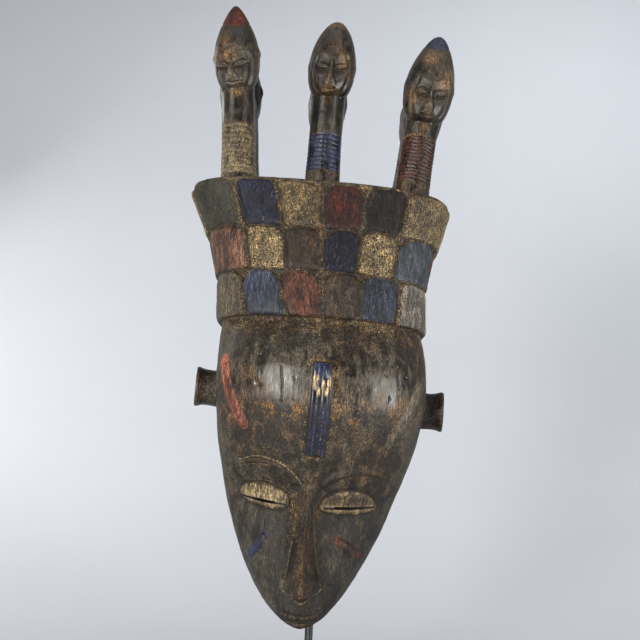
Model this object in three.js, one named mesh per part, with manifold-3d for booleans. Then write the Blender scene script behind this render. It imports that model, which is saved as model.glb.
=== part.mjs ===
// A Ligbi face mask with a carved headdress and three double-headed crests,
// held upright by a steel rod that stands on a square foot.
// Millimetres, +Z up. The origin is the middle of the foot's underside and the mask looks along -Y.
import * as THREE from 'three';
import { mergeVertices } from 'three/addons/utils/BufferGeometryUtils.js';
import Module from 'manifold-3d';

const wasm = await Module();
wasm.setup();

// Foot and rod
const FOOT_SIDE = 140;
const FOOT_THICK = 8;
const FOOT_CORNER = 8;
const FOOT_BEVEL = 1;
const ROD_DIAMETER = 6;
const ROD_X = 3;
const ROD_Y = 20;
const ROD_TOP = 340;
const ROD_SIDES = 16;
const FOOT_HOLE_DEPTH = 5;
const GAP = 0.3;

// Wood shell and its hollow
const WALL_SIDE = 13;
const WALL_FRONT = 15;
const HOLLOW_BOTTOM = 99;
const HOLLOW_TOP = 302;
const HOLLOW_REACH = 70;

// The body from chin to crown, one row a station:
// height, half width, y of the widest line, y of the front, y of the back,
// squareness of the front arc, sideways shift of the middle line, drop of a level line towards +X
const STATIONS = [
  [80, 3, -41, -46, -37, 2.0, -3.6, 0.0],
  [82, 9.5, -34, -50, -29, 2.0, -3.7, 0.0],
  [86, 17, -27, -53, -18, 2.0, -3.8, 0.0],
  [92, 24.5, -18, -54, -7, 2.0, -4.0, 0.0],
  [100, 32, -10, -53, 4, 2.0, -4.0, 0.005],
  [112, 40.3, -4, -51, 15, 2.0, -4.0, 0.015],
  [128, 48.5, 0, -49, 25, 2.1, -3.6, 0.03],
  [148, 57, 0, -47, 32, 2.1, -2.8, 0.04],
  [165, 62.9, 0, -47.5, 36, 2.1, -2.0, 0.045],
  [180, 67.5, 0, -53, 39, 2.2, -0.6, 0.05],
  [195, 71.8, 0, -61, 41, 2.3, 0.6, 0.058],
  [212, 75.4, 0, -69, 42, 2.3, 1.9, 0.06],
  [230, 78, -1, -74, 42, 2.3, 2.7, 0.06],
  [248, 79.3, -2, -75, 42, 2.3, 3.0, 0.058],
  [264, 79, -2, -71, 42, 2.3, 2.8, 0.045],
  [276, 77.8, -2, -65, 42, 2.4, 2.0, 0.03],
  [286, 76.2, -2, -59, 42, 2.5, 1.0, 0.022],
  [289, 77, -2, -59, 42, 2.6, 0.7, 0.02],
  [302, 77.2, -2, -58, 42, 2.8, 0.0, 0.02],
  [322, 78.8, -2, -55.5, 42, 2.9, -0.6, 0.025],
  [342, 83.3, -2, -54, 42, 3.0, -1.2, 0.03],
  [362, 89.6, -2, -51.5, 42, 3.0, -2.0, 0.034],
  [380, 96.6, -2, -49.5, 42, 3.0, -3.4, 0.035],
  [389, 99.6, -2, -48.7, 42, 3.0, -4.2, 0.034],
  [392.5, 98.8, -2, -47.4, 41.4, 3.0, -4.4, 0.034],
  [395, 94, -2, -43.5, 38, 2.8, -4.4, 0.034],
];
const SIDE_SPAN = 0.4;
const FACE_ROW = 11.7;
const FOREHEAD_ROWS = 6;
const FACE_SPREAD = 0.94;
const BROW_LEVEL = 198;
const BLEND_LEVEL = 262;
const SEAM_LEVEL = 286;
const CROWN_LEVELS = [390.6, 392.6, 394.6];
const CROWN_BULGE = 3;

// Pads of the headdress: bottom and top of each row, and where the columns part,
// as shares of the half width in front and as arc positions round the corner
const PAD_ROWS = [
  { bottom: 287.6, top: 319.2, columns: [0, 0.345, 0.7] },
  { bottom: 320.6, top: 352.4, columns: [0, 0.32, 0.64] },
  { bottom: 353.8, top: 389.6, columns: [0, 0.32, 0.64] },
];
const CORNER_ARC = 0.86;
const SIDE_ARCS = [1.13, 1.37];
const PAD_THICK = 3.2;
const PAD_EDGE = 1.5;
const PAD_GROOVE = 0.8;
const PAD_ARCH = 5;
const FRONT_PAD_STOPS = [-1, -0.55, 0.55, 1];
const SIDE_PAD_STOPS = [-1, 1];
const UP_PAD_STOPS = [-1, -0.5, 0.55, 1];

// Face, in the straightened face before it leans
const EYES = [
  {
    inner: [-12, 159.8], outer: [-48.8, 164], up: 8.7, down: 6.8,
    slit: { from: [-14.5, 158.3], to: [-46.5, 161.2], half: 0.75 },
  },
  {
    inner: [8, 158.2], outer: [48.4, 160.8], up: 11.2, down: 4.8,
    slit: { from: [11.5, 158.3], to: [46, 161.2], half: 0.9 },
  },
];
const EYE_HEIGHT = 3.4;
const SLIT_CORNER = 0.25;
const SLIT_CUT = 60;
const SLIT_CUT_FROM = -75;
const SLIT_RISE = 0.3;
const BROW_LINE = [[51, 182.5], [42, 185.6], [30, 185.2], [18, 181.2], [8.5, 173]];
const BROW_WIDTH = 5.6;
const BROW_HEIGHT = 2;
const TEMPLE_LINES = [
  [[-73, 256.5], [-67.5, 243], [-61.5, 229], [-55, 216.5], [-48.5, 206.5]],
  [[73.5, 253], [69.5, 240.5], [62, 225.5], [55, 213.5], [49.5, 204.5]],
];
const TEMPLE_WIDTH = 6.4;
const CHEEK_LINES = [
  [[-26.5, 137.2], [-32.2, 129.8], [-37.8, 122]],
  [[22.1, 137.6], [30.5, 132.4], [38.6, 127]],
];
const CHEEK_WIDTH = 6.2;
const MARK_HEIGHT = 1.3;
const STRIPE_BOTTOM = 192;
const STRIPE_TOP = 254;
const STRIPE_MIDDLE = 0.4;
const STRIPE_HALF = 5.4;
const STRIPE_SWELL = 1.5;
const STRIPE_RIBS = 4;
const STRIPE_HEIGHT = 0.9;
const RIB_HEIGHT = 0.6;
const UPPER_LIP = [[-12, 91.3], [-6.5, 89.9], [0.5, 89.2], [8, 89.8], [13.8, 92.9]];
const LOWER_LIP = [[-8.8, 86], [0.6, 84.2], [10, 86.6]];
const LIP_WIDTH = 3.8;
const LIP_HEIGHT = 1.5;

// Nose: height, half width, rise of the ridge above the face, rise of the wings
const NOSE = [
  [97.5, 12.6, 20, 6.5],
  [103, 13.2, 22.5, 8],
  [110, 13.4, 22, 8],
  [118, 10.6, 19, 4],
  [132, 8.6, 15, 2],
  [148, 7.2, 10.5, 1],
  [163, 7, 7.5, 0.8],
  [176, 8.5, 3.5, 0.4],
  [186, 7, -0.2, -0.2],
];
const NOSE_LIFT = 9.5;

// Ear pegs
const EAR_HEIGHT = 235;
const EAR_Y = 5;
const EAR_TURN = 0.14;
const EAR_REACH = [95, 94];
const EAR_PROFILE = [[14.4, -26], [13.6, -10], [14.1, -4], [15.2, -1], [14.6, 1]];

// Crests, each a pair of heads back to back on long joined necks:
// place of the foot, lean and bend sideways, height of the chin and of the head, size of the head and
// sharpness of its top, level of the brows as a share of the head, how the rear head differs,
// and the carved rings of the neck
const CRESTS = [
  {
    x: -69.2, lean: -0.066, bend: -0.0001, chin: 74, head: 79.5, size: 0.97, point: 0.46,
    brow: 0.34, rear: { drop: 7, size: 0.95, shift: -1.5 }, rings: 4,
  },
  {
    x: -3.6, lean: 0.008, bend: 0.00026, chin: 71, head: 71.5, size: 1, point: 0.14,
    brow: 0.47, rear: { drop: 7, size: 0.87, shift: -1.8 }, rings: 4,
  },
  {
    x: 66.9, lean: 0.112, bend: 0.00025, chin: 53, head: 81, size: 1.04, point: 0.3,
    brow: 0.41, rear: { drop: 1, size: 0.94, shift: 1 }, rings: 5,
  },
];
const CREST_BASE = 399;
const CREST_SINK = 14;
const NECK_RADIUS = 13.3;
const NECK_SPREAD = 19;
const NECK_WAIST = 9;
const RING_BAND = 42;
const RING_DEPTH = 0.7;
const HEAD_RADIUS = 18.9;
const HEAD_DEPTH = 1.04;
const HEAD_WIDEST = 0.42;
const CHIN_JUT = 6.5;
const HEAD_TURNS = [0, 0.22, 0.5, 0.95, 1.45, 2.1];
const HEAD_FACE_LEVELS = [0, 0.12, 0.34, 0.6, 0.84, 1.08];
const HEAD_CAP_LEVELS = [0.2, 0.45, 0.68, 0.87, 1];
const HEAD_TIP = 0.985;

const FULL_TURN = Math.PI * 2;
const QUARTER = Math.PI / 2;

// Smooth value of one column of a table of stations
function along(table, column, position) {
  const last = table.length - 1;
  if (position <= table[0][0]) return table[0][column];
  if (position >= table[last][0]) return table[last][column];
  let i = 0;
  while (table[i + 1][0] < position) i += 1;
  const slopeBetween = (a) => (table[a + 1][column] - table[a][column]) / (table[a + 1][0] - table[a][0]);
  const slopeAt = (a) => {
    if (a === 0) return slopeBetween(0);
    if (a === last) return slopeBetween(last - 1);
    const before = slopeBetween(a - 1);
    const after = slopeBetween(a);
    return before * after <= 0 ? 0 : (2 * before * after) / (before + after);
  };
  const span = table[i + 1][0] - table[i][0];
  const s = (position - table[i][0]) / span;
  const a = table[i][column];
  const b = table[i + 1][column];
  const startPull = slopeAt(i) * span;
  const endPull = slopeAt(i + 1) * span;
  const s2 = s * s;
  const s3 = s2 * s;
  return (2 * s3 - 3 * s2 + 1) * a + (s3 - 2 * s2 + s) * startPull
    + (3 * s2 - 2 * s3) * b + (s3 - s2) * endPull;
}

function bump(distance) {
  return Math.exp(-distance * distance);
}

// Hollows round the eyes and the small muzzle, as a rise of the face towards the viewer
function softForm(x, z) {
  const side = Math.abs(x);
  const socket = bump((side - 30) / 19) * bump((z - 162) / 11);
  const browMass = bump((side - 30) / 26) * bump((z - 186) / 9);
  const cheek = bump((side - 27) / 14) * bump((z - 135) / 14);
  const muzzle = bump(x / 16) * bump((z - 92) / 9);
  return -4 * socket + 1.6 * browMass + 1.2 * cheek + 2 * muzzle;
}

// The straightened body's skin: arc runs from -1 to 1 across the front and on along the side walls
function skin(arc, z) {
  const halfWidth = along(STATIONS, 1, z);
  const yWide = along(STATIONS, 2, z);
  const yFront = along(STATIONS, 3, z);
  const yBack = along(STATIONS, 4, z);
  const power = 2 / along(STATIONS, 5, z);
  const side = Math.sign(arc);
  const reach = Math.abs(arc);
  if (reach <= 1) {
    const x = side * halfWidth * Math.pow(Math.sin(reach * QUARTER), power);
    const depth = Math.pow(Math.max(Math.cos(reach * QUARTER), 0), power);
    const y = yWide - (yWide - yFront) * depth - softForm(x, z) * depth;
    return new THREE.Vector3(x, y, z);
  }
  const back = Math.min((reach - 1) / SIDE_SPAN, 1);
  const narrowing = 1 - 0.02 * back * back;
  return new THREE.Vector3(side * halfWidth * narrowing, yWide + (yBack - yWide) * back, z);
}

// Arc position of a point of the face, from its x
function arcOf(x, z) {
  const halfWidth = along(STATIONS, 1, z);
  const power = along(STATIONS, 5, z) / 2;
  const share = Math.min(Math.abs(x) / halfWidth, 1);
  return Math.sign(x) * Math.asin(Math.pow(share, power)) / QUARTER;
}

// The hand-cut lean: the middle line wanders and level lines drop towards +X
function leaned(point) {
  const shift = along(STATIONS, 6, point.z);
  const drop = along(STATIONS, 7, point.z);
  return new THREE.Vector3(point.x + shift, point.y, point.z - drop * point.x);
}

// A closed geometry becomes a solid that can be joined and cut
function solidOf(geometry) {
  const bare = geometry.clone();
  bare.deleteAttribute('normal');
  bare.deleteAttribute('uv');
  const merged = mergeVertices(bare);
  const points = merged.attributes.position.array;
  const corners = merged.index.array;
  const triangles = [];
  let volume = 0;
  const a = new THREE.Vector3();
  const b = new THREE.Vector3();
  const c = new THREE.Vector3();
  for (let i = 0; i < corners.length; i += 3) {
    const [p, q, r] = [corners[i], corners[i + 1], corners[i + 2]];
    if (p === q || q === r || r === p) continue;
    triangles.push(p, q, r);
    a.fromArray(points, p * 3);
    b.fromArray(points, q * 3);
    c.fromArray(points, r * 3);
    volume += a.dot(b.cross(c));
  }
  if (volume < 0) triangles.reverse();
  return new wasm.Manifold(new wasm.Mesh({
    numProp: 3,
    vertProperties: new Float32Array(points),
    triVerts: new Uint32Array(triangles),
  }));
}

function geometryOf(solid) {
  const mesh = solid.getMesh();
  const geometry = new THREE.BufferGeometry();
  geometry.setAttribute('position', new THREE.BufferAttribute(new Float32Array(mesh.vertProperties), 3));
  geometry.setIndex(new THREE.BufferAttribute(new Uint32Array(mesh.triVerts), 1));
  geometry.computeVertexNormals();
  return geometry;
}

// Moves every vertex of a geometry to the place that a function gives
function reshape(geometry, place) {
  const position = geometry.attributes.position;
  for (let i = 0; i < position.count; i += 1) {
    const p = place(position.getX(i), position.getY(i), position.getZ(i));
    position.setXYZ(i, p.x, p.y, p.z);
  }
  return geometry;
}

// A solid skin through rings of equal length, closed at both ends
function loft(rings) {
  const count = rings[0].length;
  const rows = rings.length - 1;
  const middles = rings.map((ring) => {
    const sum = ring.reduce((total, p) => total.add(p), new THREE.Vector3());
    return sum.multiplyScalar(1 / count);
  });
  return reshape(new THREE.CylinderGeometry(1, 1, 1, count, rows), (x, y, z) => {
    const row = Math.round((0.5 - y) * rows);
    if (Math.hypot(x, z) < 0.5) return middles[row];
    const index = Math.round((Math.atan2(x, z) / FULL_TURN) * count);
    return rings[row][(index + count) % count];
  });
}

// A raised patch on a skin: place gives skin positions for a and b from -1 to 1, rise the height there
function patch(skinAt, place, rise, stepsA, stepsB, root = 3) {
  const step = 0.002;
  const lifted = (a, b, layer) => {
    const [u, v] = place(a, b);
    const point = skinAt(u, v);
    const alongU = skinAt(u + step, v).sub(skinAt(u - step, v));
    const alongV = skinAt(u, v + step).sub(skinAt(u, v - step));
    const normal = alongU.cross(alongV).normalize();
    const height = layer > 0 ? rise(a, b) : -root;
    return point.addScaledVector(normal, height);
  };
  return reshape(new THREE.BoxGeometry(2, 2, 2, stepsA, stepsB, 1), lifted);
}

function facePatch(place, rise, stepsA, stepsB, root) {
  const placed = (a, b) => {
    const [x, z] = place(a, b);
    return [arcOf(x, z), z];
  };
  const geometry = patch(skin, placed, rise, stepsA, stepsB, root);
  return reshape(geometry, (x, y, z) => leaned(new THREE.Vector3(x, y, z)));
}

// A rounded raised band along a line of face points, mirrored by side
function band(line, side, width, height, stepsA, stepsB) {
  const curve = new THREE.SplineCurve(line.map(([x, z]) => new THREE.Vector2(x * side, z)));
  const place = (a, b) => {
    const s = (a + 1) / 2;
    const p = curve.getPoint(s);
    const t = curve.getTangent(s);
    const taper = Math.sqrt(Math.max(1 - Math.pow(Math.abs(a), 6), 0.16));
    const half = (b * width * taper) / 2;
    return [p.x - t.y * half, p.y + t.x * half];
  };
  const rise = (a, b) => 0.2 + height * (1 - b * b) * Math.sqrt(Math.max(1 - Math.pow(Math.abs(a), 8), 0.1));
  return facePatch(place, rise, stepsA, stepsB);
}

// Body and headdress, one skin

// Where the pads of a row part, from the back of one side round the front to the back of the other
function padArcs(row) {
  const middle = (row.bottom + row.top) / 2;
  const halfWidth = along(STATIONS, 1, middle);
  const half = row.columns.map((share) => arcOf(share * halfWidth, middle));
  half.push(CORNER_ARC, ...SIDE_ARCS);
  const mirrored = half.slice(1).reverse().map((arc) => -arc);
  return [...mirrored, ...half];
}

// The columns of the skin: a groove beside each pad and the stops across it
function skinColumns() {
  const columns = [{ groove: 0 }];
  const count = 2 * (PAD_ROWS[0].columns.length + SIDE_ARCS.length);
  for (let pad = 0; pad < count; pad += 1) {
    const onSide = pad < SIDE_ARCS.length || pad >= count - SIDE_ARCS.length;
    const stops = onSide ? SIDE_PAD_STOPS : FRONT_PAD_STOPS;
    for (const across of stops) columns.push({ pad, across });
    columns.push({ groove: pad + 1 });
  }
  return columns;
}

function padPlace(row, arcs, pad, a, b) {
  const up = (b + 1) / 2;
  const shoulder = Math.max(0, (up - 0.6) / 0.4);
  const taper = 1 - 0.26 * shoulder * shoulder;
  const arch = PAD_ARCH * shoulder * (0.35 - 0.65 * a * a);
  const wide = arcs[pad + 1] - arcs[pad];
  const arc = arcs[pad] + wide * (0.5 + 0.5 * a * taper * (1 - PAD_GROOVE / 15));
  return [arc, row.bottom + (row.top - row.bottom) * up + arch];
}

function padRise(a, b) {
  const dome = (1 - Math.pow(Math.abs(a), 3)) * (1 - Math.pow(Math.abs(b), 3));
  return PAD_EDGE + (PAD_THICK - PAD_EDGE) * Math.sqrt(Math.max(dome, 0));
}

// A point of the skin lifted outward
function raisedSkin(arc, z, height) {
  const step = 0.002;
  const alongArc = skin(arc + step, z).sub(skin(arc - step, z));
  const alongZ = skin(arc, z + 0.05).sub(skin(arc, z - 0.05));
  const outward = alongArc.cross(alongZ).normalize();
  return skin(arc, z).addScaledVector(outward, height);
}

function closedBehind(points, z) {
  const left = skin(-1 - SIDE_SPAN, z);
  const right = skin(1 + SIDE_SPAN, z);
  return [...points, right, new THREE.Vector3(0, right.y, z), left].map(leaned);
}

function columnArc(row, arcs, column) {
  if (!('pad' in column)) return arcs[column.groove];
  return padPlace(row, arcs, column.pad, column.across, -1)[0];
}

// A ring of the face, evenly spaced low down, with its columns turning into those of the pads
function faceRing(z, columns) {
  const row = PAD_ROWS[0];
  const arcs = padArcs(row);
  const share = THREE.MathUtils.smoothstep(z, BLEND_LEVEL, SEAM_LEVEL);
  const order = [];
  columns.forEach((column, i) => order.push(i === 0 ? 0 : order[i - 1] + ('pad' in column ? 1 : 0)));
  const last = order[order.length - 1];
  const sideCount = SIDE_ARCS.length * SIDE_PAD_STOPS.length;
  const points = columns.map((column, i) => {
    const fromEnd = Math.min(order[i], last - order[i]);
    const side = order[i] < last / 2 ? -1 : 1;
    const reach = fromEnd < sideCount
      ? SIDE_ARCS[1] - ((SIDE_ARCS[1] - FACE_SPREAD) * fromEnd) / sideCount
      : FACE_SPREAD * (1 - (fromEnd - sideCount) / (last / 2 - sideCount));
    const even = side * reach;
    return skin(even + (columnArc(row, arcs, column) - even) * share, z);
  });
  return closedBehind(points, z);
}

function grooveRing(row, columns, z) {
  const arcs = padArcs(row);
  return closedBehind(columns.map((column) => skin(columnArc(row, arcs, column), z)), z);
}

// The crown needs no groove columns, so those beside a pad's edge fall together
function crownRing(row, columns, z) {
  const arcs = padArcs(row);
  const points = columns.map((column) => {
    if (!('pad' in column)) return skin(arcs[column.groove], z);
    if (Math.abs(column.across) < 1) return skin(columnArc(row, arcs, column), z);
    return skin(arcs[column.pad + (column.across > 0 ? 1 : 0)], z);
  });
  return closedBehind(points, z);
}

function padRing(row, columns, b) {
  const arcs = padArcs(row);
  const level = row.bottom + ((row.top - row.bottom) * (b + 1)) / 2;
  const points = columns.map((column) => {
    if (!('pad' in column)) return skin(arcs[column.groove], level);
    const [arc, z] = padPlace(row, arcs, column.pad, column.across, b);
    return raisedSkin(arc, z, padRise(column.across, b));
  });
  return closedBehind(points, level);
}

function faceLevels() {
  const levels = [80, 81, 82.5, 85, 88.5, 93];
  const first = levels[levels.length - 1];
  const faceRows = Math.round((BROW_LEVEL - first) / FACE_ROW);
  for (let i = 1; i <= faceRows; i += 1) levels.push(first + ((BROW_LEVEL - first) * i) / faceRows);
  for (let i = 1; i <= FOREHEAD_ROWS; i += 1) {
    levels.push(BROW_LEVEL + ((SEAM_LEVEL - BROW_LEVEL) * i) / FOREHEAD_ROWS);
  }
  return levels;
}

function bodySolid() {
  const columns = skinColumns();
  const rings = faceLevels().map((z) => faceRing(z, columns));
  PAD_ROWS.forEach((row, i) => {
    for (const b of UP_PAD_STOPS) rings.push(padRing(row, columns, b));
    const above = PAD_ROWS[i + 1];
    if (above) rings.push(grooveRing(above, columns, (row.top + above.bottom) / 2 + PAD_GROOVE));
  });
  const topRow = PAD_ROWS[PAD_ROWS.length - 1];
  for (const z of CROWN_LEVELS) rings.push(crownRing(topRow, columns, z));
  const crownTop = CROWN_LEVELS[CROWN_LEVELS.length - 1];
  const middle = rings[rings.length - 1].reduce((sum, p) => sum.add(p), new THREE.Vector3());
  middle.multiplyScalar(1 / rings[0].length);
  return solidOf(reshape(loft(rings), (x, y, z) => {
    const atMiddle = Math.hypot(x - middle.x, y - middle.y) < 1 && z > crownTop - 5;
    return new THREE.Vector3(x, y, atMiddle ? z + CROWN_BULGE : z);
  }));
}

// Face features

function eyeLine(eye, share) {
  const x = eye.inner[0] + (eye.outer[0] - eye.inner[0]) * share;
  const z = eye.inner[1] + (eye.outer[1] - eye.inner[1]) * share;
  return [x, z];
}

function eyeSolid(eye) {
  const place = (a, b) => {
    const [x, z] = eyeLine(eye, (a + 1) / 2);
    const opening = Math.pow(Math.max(1 - a * a, 0), 0.6) + 0.06;
    return [x, z + b * opening * (b > 0 ? eye.up : eye.down)];
  };
  const rise = (a, b) => {
    const round = Math.sqrt(Math.max(1 - a * a, 0)) * Math.pow(Math.max(1 - b * b, 0), 0.7);
    return 0.3 + EYE_HEIGHT * round;
  };
  return solidOf(facePatch(place, rise, 6, 4));
}

// The slit of an eye, cut through the wall and upward as it goes in
function slitSolid(slit) {
  const geometry = new THREE.BoxGeometry(2, SLIT_CUT, 2, 6, 1, 2);
  geometry.translate(0, SLIT_CUT_FROM + SLIT_CUT / 2, 0);
  return solidOf(reshape(geometry, (a, y, b) => {
    const share = (a + 1) / 2;
    const x = slit.from[0] + (slit.to[0] - slit.from[0]) * share;
    const z = slit.from[1] + (slit.to[1] - slit.from[1]) * share;
    const lidFront = skin(arcOf(x, z), z).y - EYE_HEIGHT;
    const level = z + SLIT_RISE * (y - lidFront);
    const reach = SLIT_CORNER + (1 - Math.pow(Math.abs(a), 3)) * slit.half;
    return leaned(new THREE.Vector3(x, y, level + b * reach));
  }));
}

function noseSolid() {
  const bottom = NOSE[0][0];
  const top = NOSE[NOSE.length - 1][0];
  const height = (a, b) => {
    const low = bottom + NOSE_LIFT * Math.pow(Math.abs(a), 1.2);
    return low + ((top - low) * (b + 1)) / 2;
  };
  const place = (a, b) => {
    const z = height(a, b);
    return [a * along(NOSE, 1, z), z];
  };
  const rise = (a, b) => {
    const z = height(a, b);
    const ridge = along(NOSE, 2, z) * Math.pow(1 - Math.pow(Math.abs(a), 1.25), 1.1);
    const wing = along(NOSE, 3, z) * Math.sqrt(1 - Math.pow(Math.abs(a), 6));
    return Math.max(ridge, wing) - 0.2;
  };
  return solidOf(facePatch(place, rise, 6, 8));
}

function stripeSolid() {
  const place = (a, b) => {
    const up = (b + 1) / 2;
    const half = STRIPE_HALF + STRIPE_SWELL * Math.sin(Math.PI * (0.15 + 0.6 * up));
    return [a * half + STRIPE_MIDDLE, STRIPE_BOTTOM + (STRIPE_TOP - STRIPE_BOTTOM) * up];
  };
  const rise = (a) => STRIPE_HEIGHT + RIB_HEIGHT * Math.abs(Math.sin((a + 1) * STRIPE_RIBS * QUARTER));
  return solidOf(facePatch(place, rise, STRIPE_RIBS * 2, 3));
}

function faceSolids() {
  const solids = EYES.map(eyeSolid);
  for (const side of [1, -1]) solids.push(solidOf(band(BROW_LINE, side, BROW_WIDTH, BROW_HEIGHT, 6, 2)));
  for (const line of TEMPLE_LINES) solids.push(solidOf(band(line, 1, TEMPLE_WIDTH, MARK_HEIGHT, 5, 2)));
  for (const line of CHEEK_LINES) solids.push(solidOf(band(line, 1, CHEEK_WIDTH, MARK_HEIGHT, 3, 2)));
  solids.push(solidOf(band(UPPER_LIP, 1, LIP_WIDTH, LIP_HEIGHT, 6, 2)));
  solids.push(solidOf(band(LOWER_LIP, 1, LIP_WIDTH, LIP_HEIGHT, 4, 2)));
  solids.push(noseSolid());
  solids.push(stripeSolid());
  return solids;
}

// Ear pegs

function earSolid(side) {
  const profile = EAR_PROFILE.map(([radius, length]) => new THREE.Vector2(radius, length));
  profile.unshift(new THREE.Vector2(0, EAR_PROFILE[0][1]));
  profile.push(new THREE.Vector2(0, -0.6));
  const reach = side < 0 ? EAR_REACH[0] : EAR_REACH[1];
  const geometry = new THREE.LatheGeometry(profile, 14);
  geometry.rotateZ(-side * QUARTER);
  geometry.rotateX(QUARTER);
  geometry.rotateZ(-side * EAR_TURN);
  geometry.translate(side * reach, EAR_Y - 3, EAR_HEIGHT);
  return solidOf(reshape(geometry, (x, y, z) => leaned(new THREE.Vector3(x, y, z))));
}

// Crests

function crestPlace(crest, x, y, height) {
  const shift = crest.lean * height + crest.bend * height * height;
  return new THREE.Vector3(crest.x + shift + x, y, CREST_BASE + height - crest.lean * x);
}

function neckRing(crest, height, scale) {
  const ring = [];
  const lobe = 5;
  const spread = 2.0;
  for (const facing of [-1, 1]) {
    const radius = NECK_RADIUS * scale * (facing < 0 ? 1 : 0.97);
    for (let i = 0; i <= lobe; i += 1) {
      const angle = -spread + (2 * spread * i) / lobe;
      const x = -facing * Math.sin(angle) * radius;
      ring.push(crestPlace(crest, x, facing * (NECK_SPREAD + Math.cos(angle) * radius), height));
    }
    ring.push(crestPlace(crest, -facing * NECK_WAIST, 0, height));
  }
  return ring;
}

function neckSolid(crest) {
  const rings = [neckRing(crest, -CREST_SINK, 1.04), neckRing(crest, 1.5, 1.03)];
  const pitch = (RING_BAND - 4) / crest.rings;
  for (let i = 0; i < crest.rings; i += 1) {
    const low = 3 + i * pitch;
    rings.push(neckRing(crest, low, 1.02 - RING_DEPTH / NECK_RADIUS));
    rings.push(neckRing(crest, low + pitch * 0.5, 1.02));
  }
  rings.push(neckRing(crest, RING_BAND, 0.985));
  rings.push(neckRing(crest, crest.chin - 2, 0.99));
  rings.push(neckRing(crest, crest.chin + 12, 1.02));
  rings.push(neckRing(crest, crest.chin + 30, 0.7));
  return solidOf(loft(rings));
}

// Features of a crest head as a rise of its skin: across runs over the face from its middle,
// up from 0 at the chin to 1 at the brows, and s from the chin to the tip
function headForm(across, up, turn, s) {
  const side = Math.abs(across);
  const ridge = 3.2 * bump(across / 2.8) * bump((up - 0.36) / 0.17);
  const root = 2 * bump(across / 2.4) * bump((up - 0.68) / 0.22);
  const brow = 1.3 * bump((side - 6.5) / 6) * bump((up - 1) / 0.12);
  const sockets = -1.6 * bump((side - 6.5) / 3.8) * bump((up - 0.7) / 0.17);
  const mouth = 1.8 * bump(across / 5.5) * bump((up - 0.1) / 0.1);
  const front = Math.min(Math.max(3 * Math.cos(turn), 0), 1);
  const ear = bump((Math.abs(turn) - 1.45) / 0.16) * bump((s - 0.38) / 0.12);
  return (ridge + root + brow + sockets + mouth) * front + ear;
}

// Share of the full radius from the chin, past the widest level, to the tip
function headSwell(crest, s) {
  if (s < HEAD_WIDEST) return 0.3 + 0.7 * Math.sqrt(1 - Math.pow((HEAD_WIDEST - s) / HEAD_WIDEST, 2.4));
  const t = (s - HEAD_WIDEST) / (1 - HEAD_WIDEST);
  return Math.sqrt(Math.max(1 - t * t, 0)) * (1 - crest.point * Math.pow(t, 1.5));
}

// Skin of a crest head: turn runs round it from the middle of its face, s from chin to tip
function headSkin(crest, facing, turn, s) {
  const { drop, size, shift } = facing > 0 ? crest.rear : { drop: 0, size: crest.size, shift: 0 };
  const plain = HEAD_RADIUS * size * headSwell(crest, s);
  const form = headForm(plain * Math.sin(turn), s / crest.brow, turn, s);
  const radius = plain + form * Math.min(25 * s, 4 - 4 * s, 1);
  const faceFlat = Math.cos(turn) > 0 ? 1 - 0.08 * Math.pow(Math.cos(turn), 2) : 0.92;
  const jut = CHIN_JUT * Math.pow(1 - s, 2) + 1.5 * s;
  const x = shift - facing * Math.sin(turn) * radius;
  const y = facing * (NECK_SPREAD + jut + Math.cos(turn) * radius * HEAD_DEPTH * faceFlat);
  return crestPlace(crest, x, y, crest.chin - drop + crest.head * s);
}

function headSolid(crest, facing) {
  const turns = [...HEAD_TURNS, Math.PI, ...HEAD_TURNS.slice(1).reverse().map((turn) => -turn)];
  const face = HEAD_FACE_LEVELS.map((share) => share * crest.brow);
  const faceTop = face[face.length - 1];
  const cap = HEAD_CAP_LEVELS.map((share) => faceTop + (HEAD_TIP - faceTop) * share);
  const rings = [...face, ...cap].map((s) => turns.map((turn) => headSkin(crest, facing, turn, s)));
  return solidOf(loft(rings));
}

function crestSolids() {
  const solids = [];
  for (const crest of CRESTS) {
    solids.push(neckSolid(crest));
    solids.push(headSolid(crest, -1), headSolid(crest, 1));
  }
  return solids;
}

// Hollow behind the face

function hollowSolid() {
  const rings = [];
  const rows = 9;
  for (let i = 0; i <= rows; i += 1) {
    const z = HOLLOW_BOTTOM + ((HOLLOW_TOP - HOLLOW_BOTTOM) * i) / rows;
    const nearTop = Math.sqrt(Math.max(1 - Math.pow(Math.max((z - 268) / (HOLLOW_TOP - 262), 0), 2), 0));
    const nearBottom = Math.sqrt(Math.min((z - HOLLOW_BOTTOM + 7) / 42, 1));
    const narrowing = (0.55 + 0.45 * nearTop) * (0.35 + 0.65 * nearBottom);
    const halfWidth = (along(STATIONS, 1, z) - WALL_SIDE) * narrowing;
    const yFront = along(STATIONS, 3, z) + WALL_FRONT;
    const yWide = Math.max(along(STATIONS, 2, z), yFront + 12);
    const ring = [];
    const arcSteps = 8;
    for (let k = -arcSteps; k <= arcSteps; k += 1) {
      const angle = (k / arcSteps) * QUARTER;
      const x = halfWidth * Math.sin(angle);
      const rise = Math.pow(Math.cos(angle), 0.9) * (0.35 + 0.65 * nearTop);
      ring.push(leaned(new THREE.Vector3(x, yWide - (yWide - yFront) * rise, z)));
    }
    ring.push(leaned(new THREE.Vector3(halfWidth, HOLLOW_REACH, z)));
    ring.push(leaned(new THREE.Vector3(-halfWidth, HOLLOW_REACH, z)));
    rings.push(ring);
  }
  return solidOf(loft(rings));
}

function upright(radius, low, high, sides) {
  const geometry = new THREE.CylinderGeometry(radius, radius, high - low, sides);
  geometry.rotateX(QUARTER);
  geometry.translate(ROD_X, ROD_Y, (low + high) / 2);
  return solidOf(geometry);
}

function joined(solids) {
  return solids.reduce((whole, solid) => whole.add(solid));
}

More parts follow.
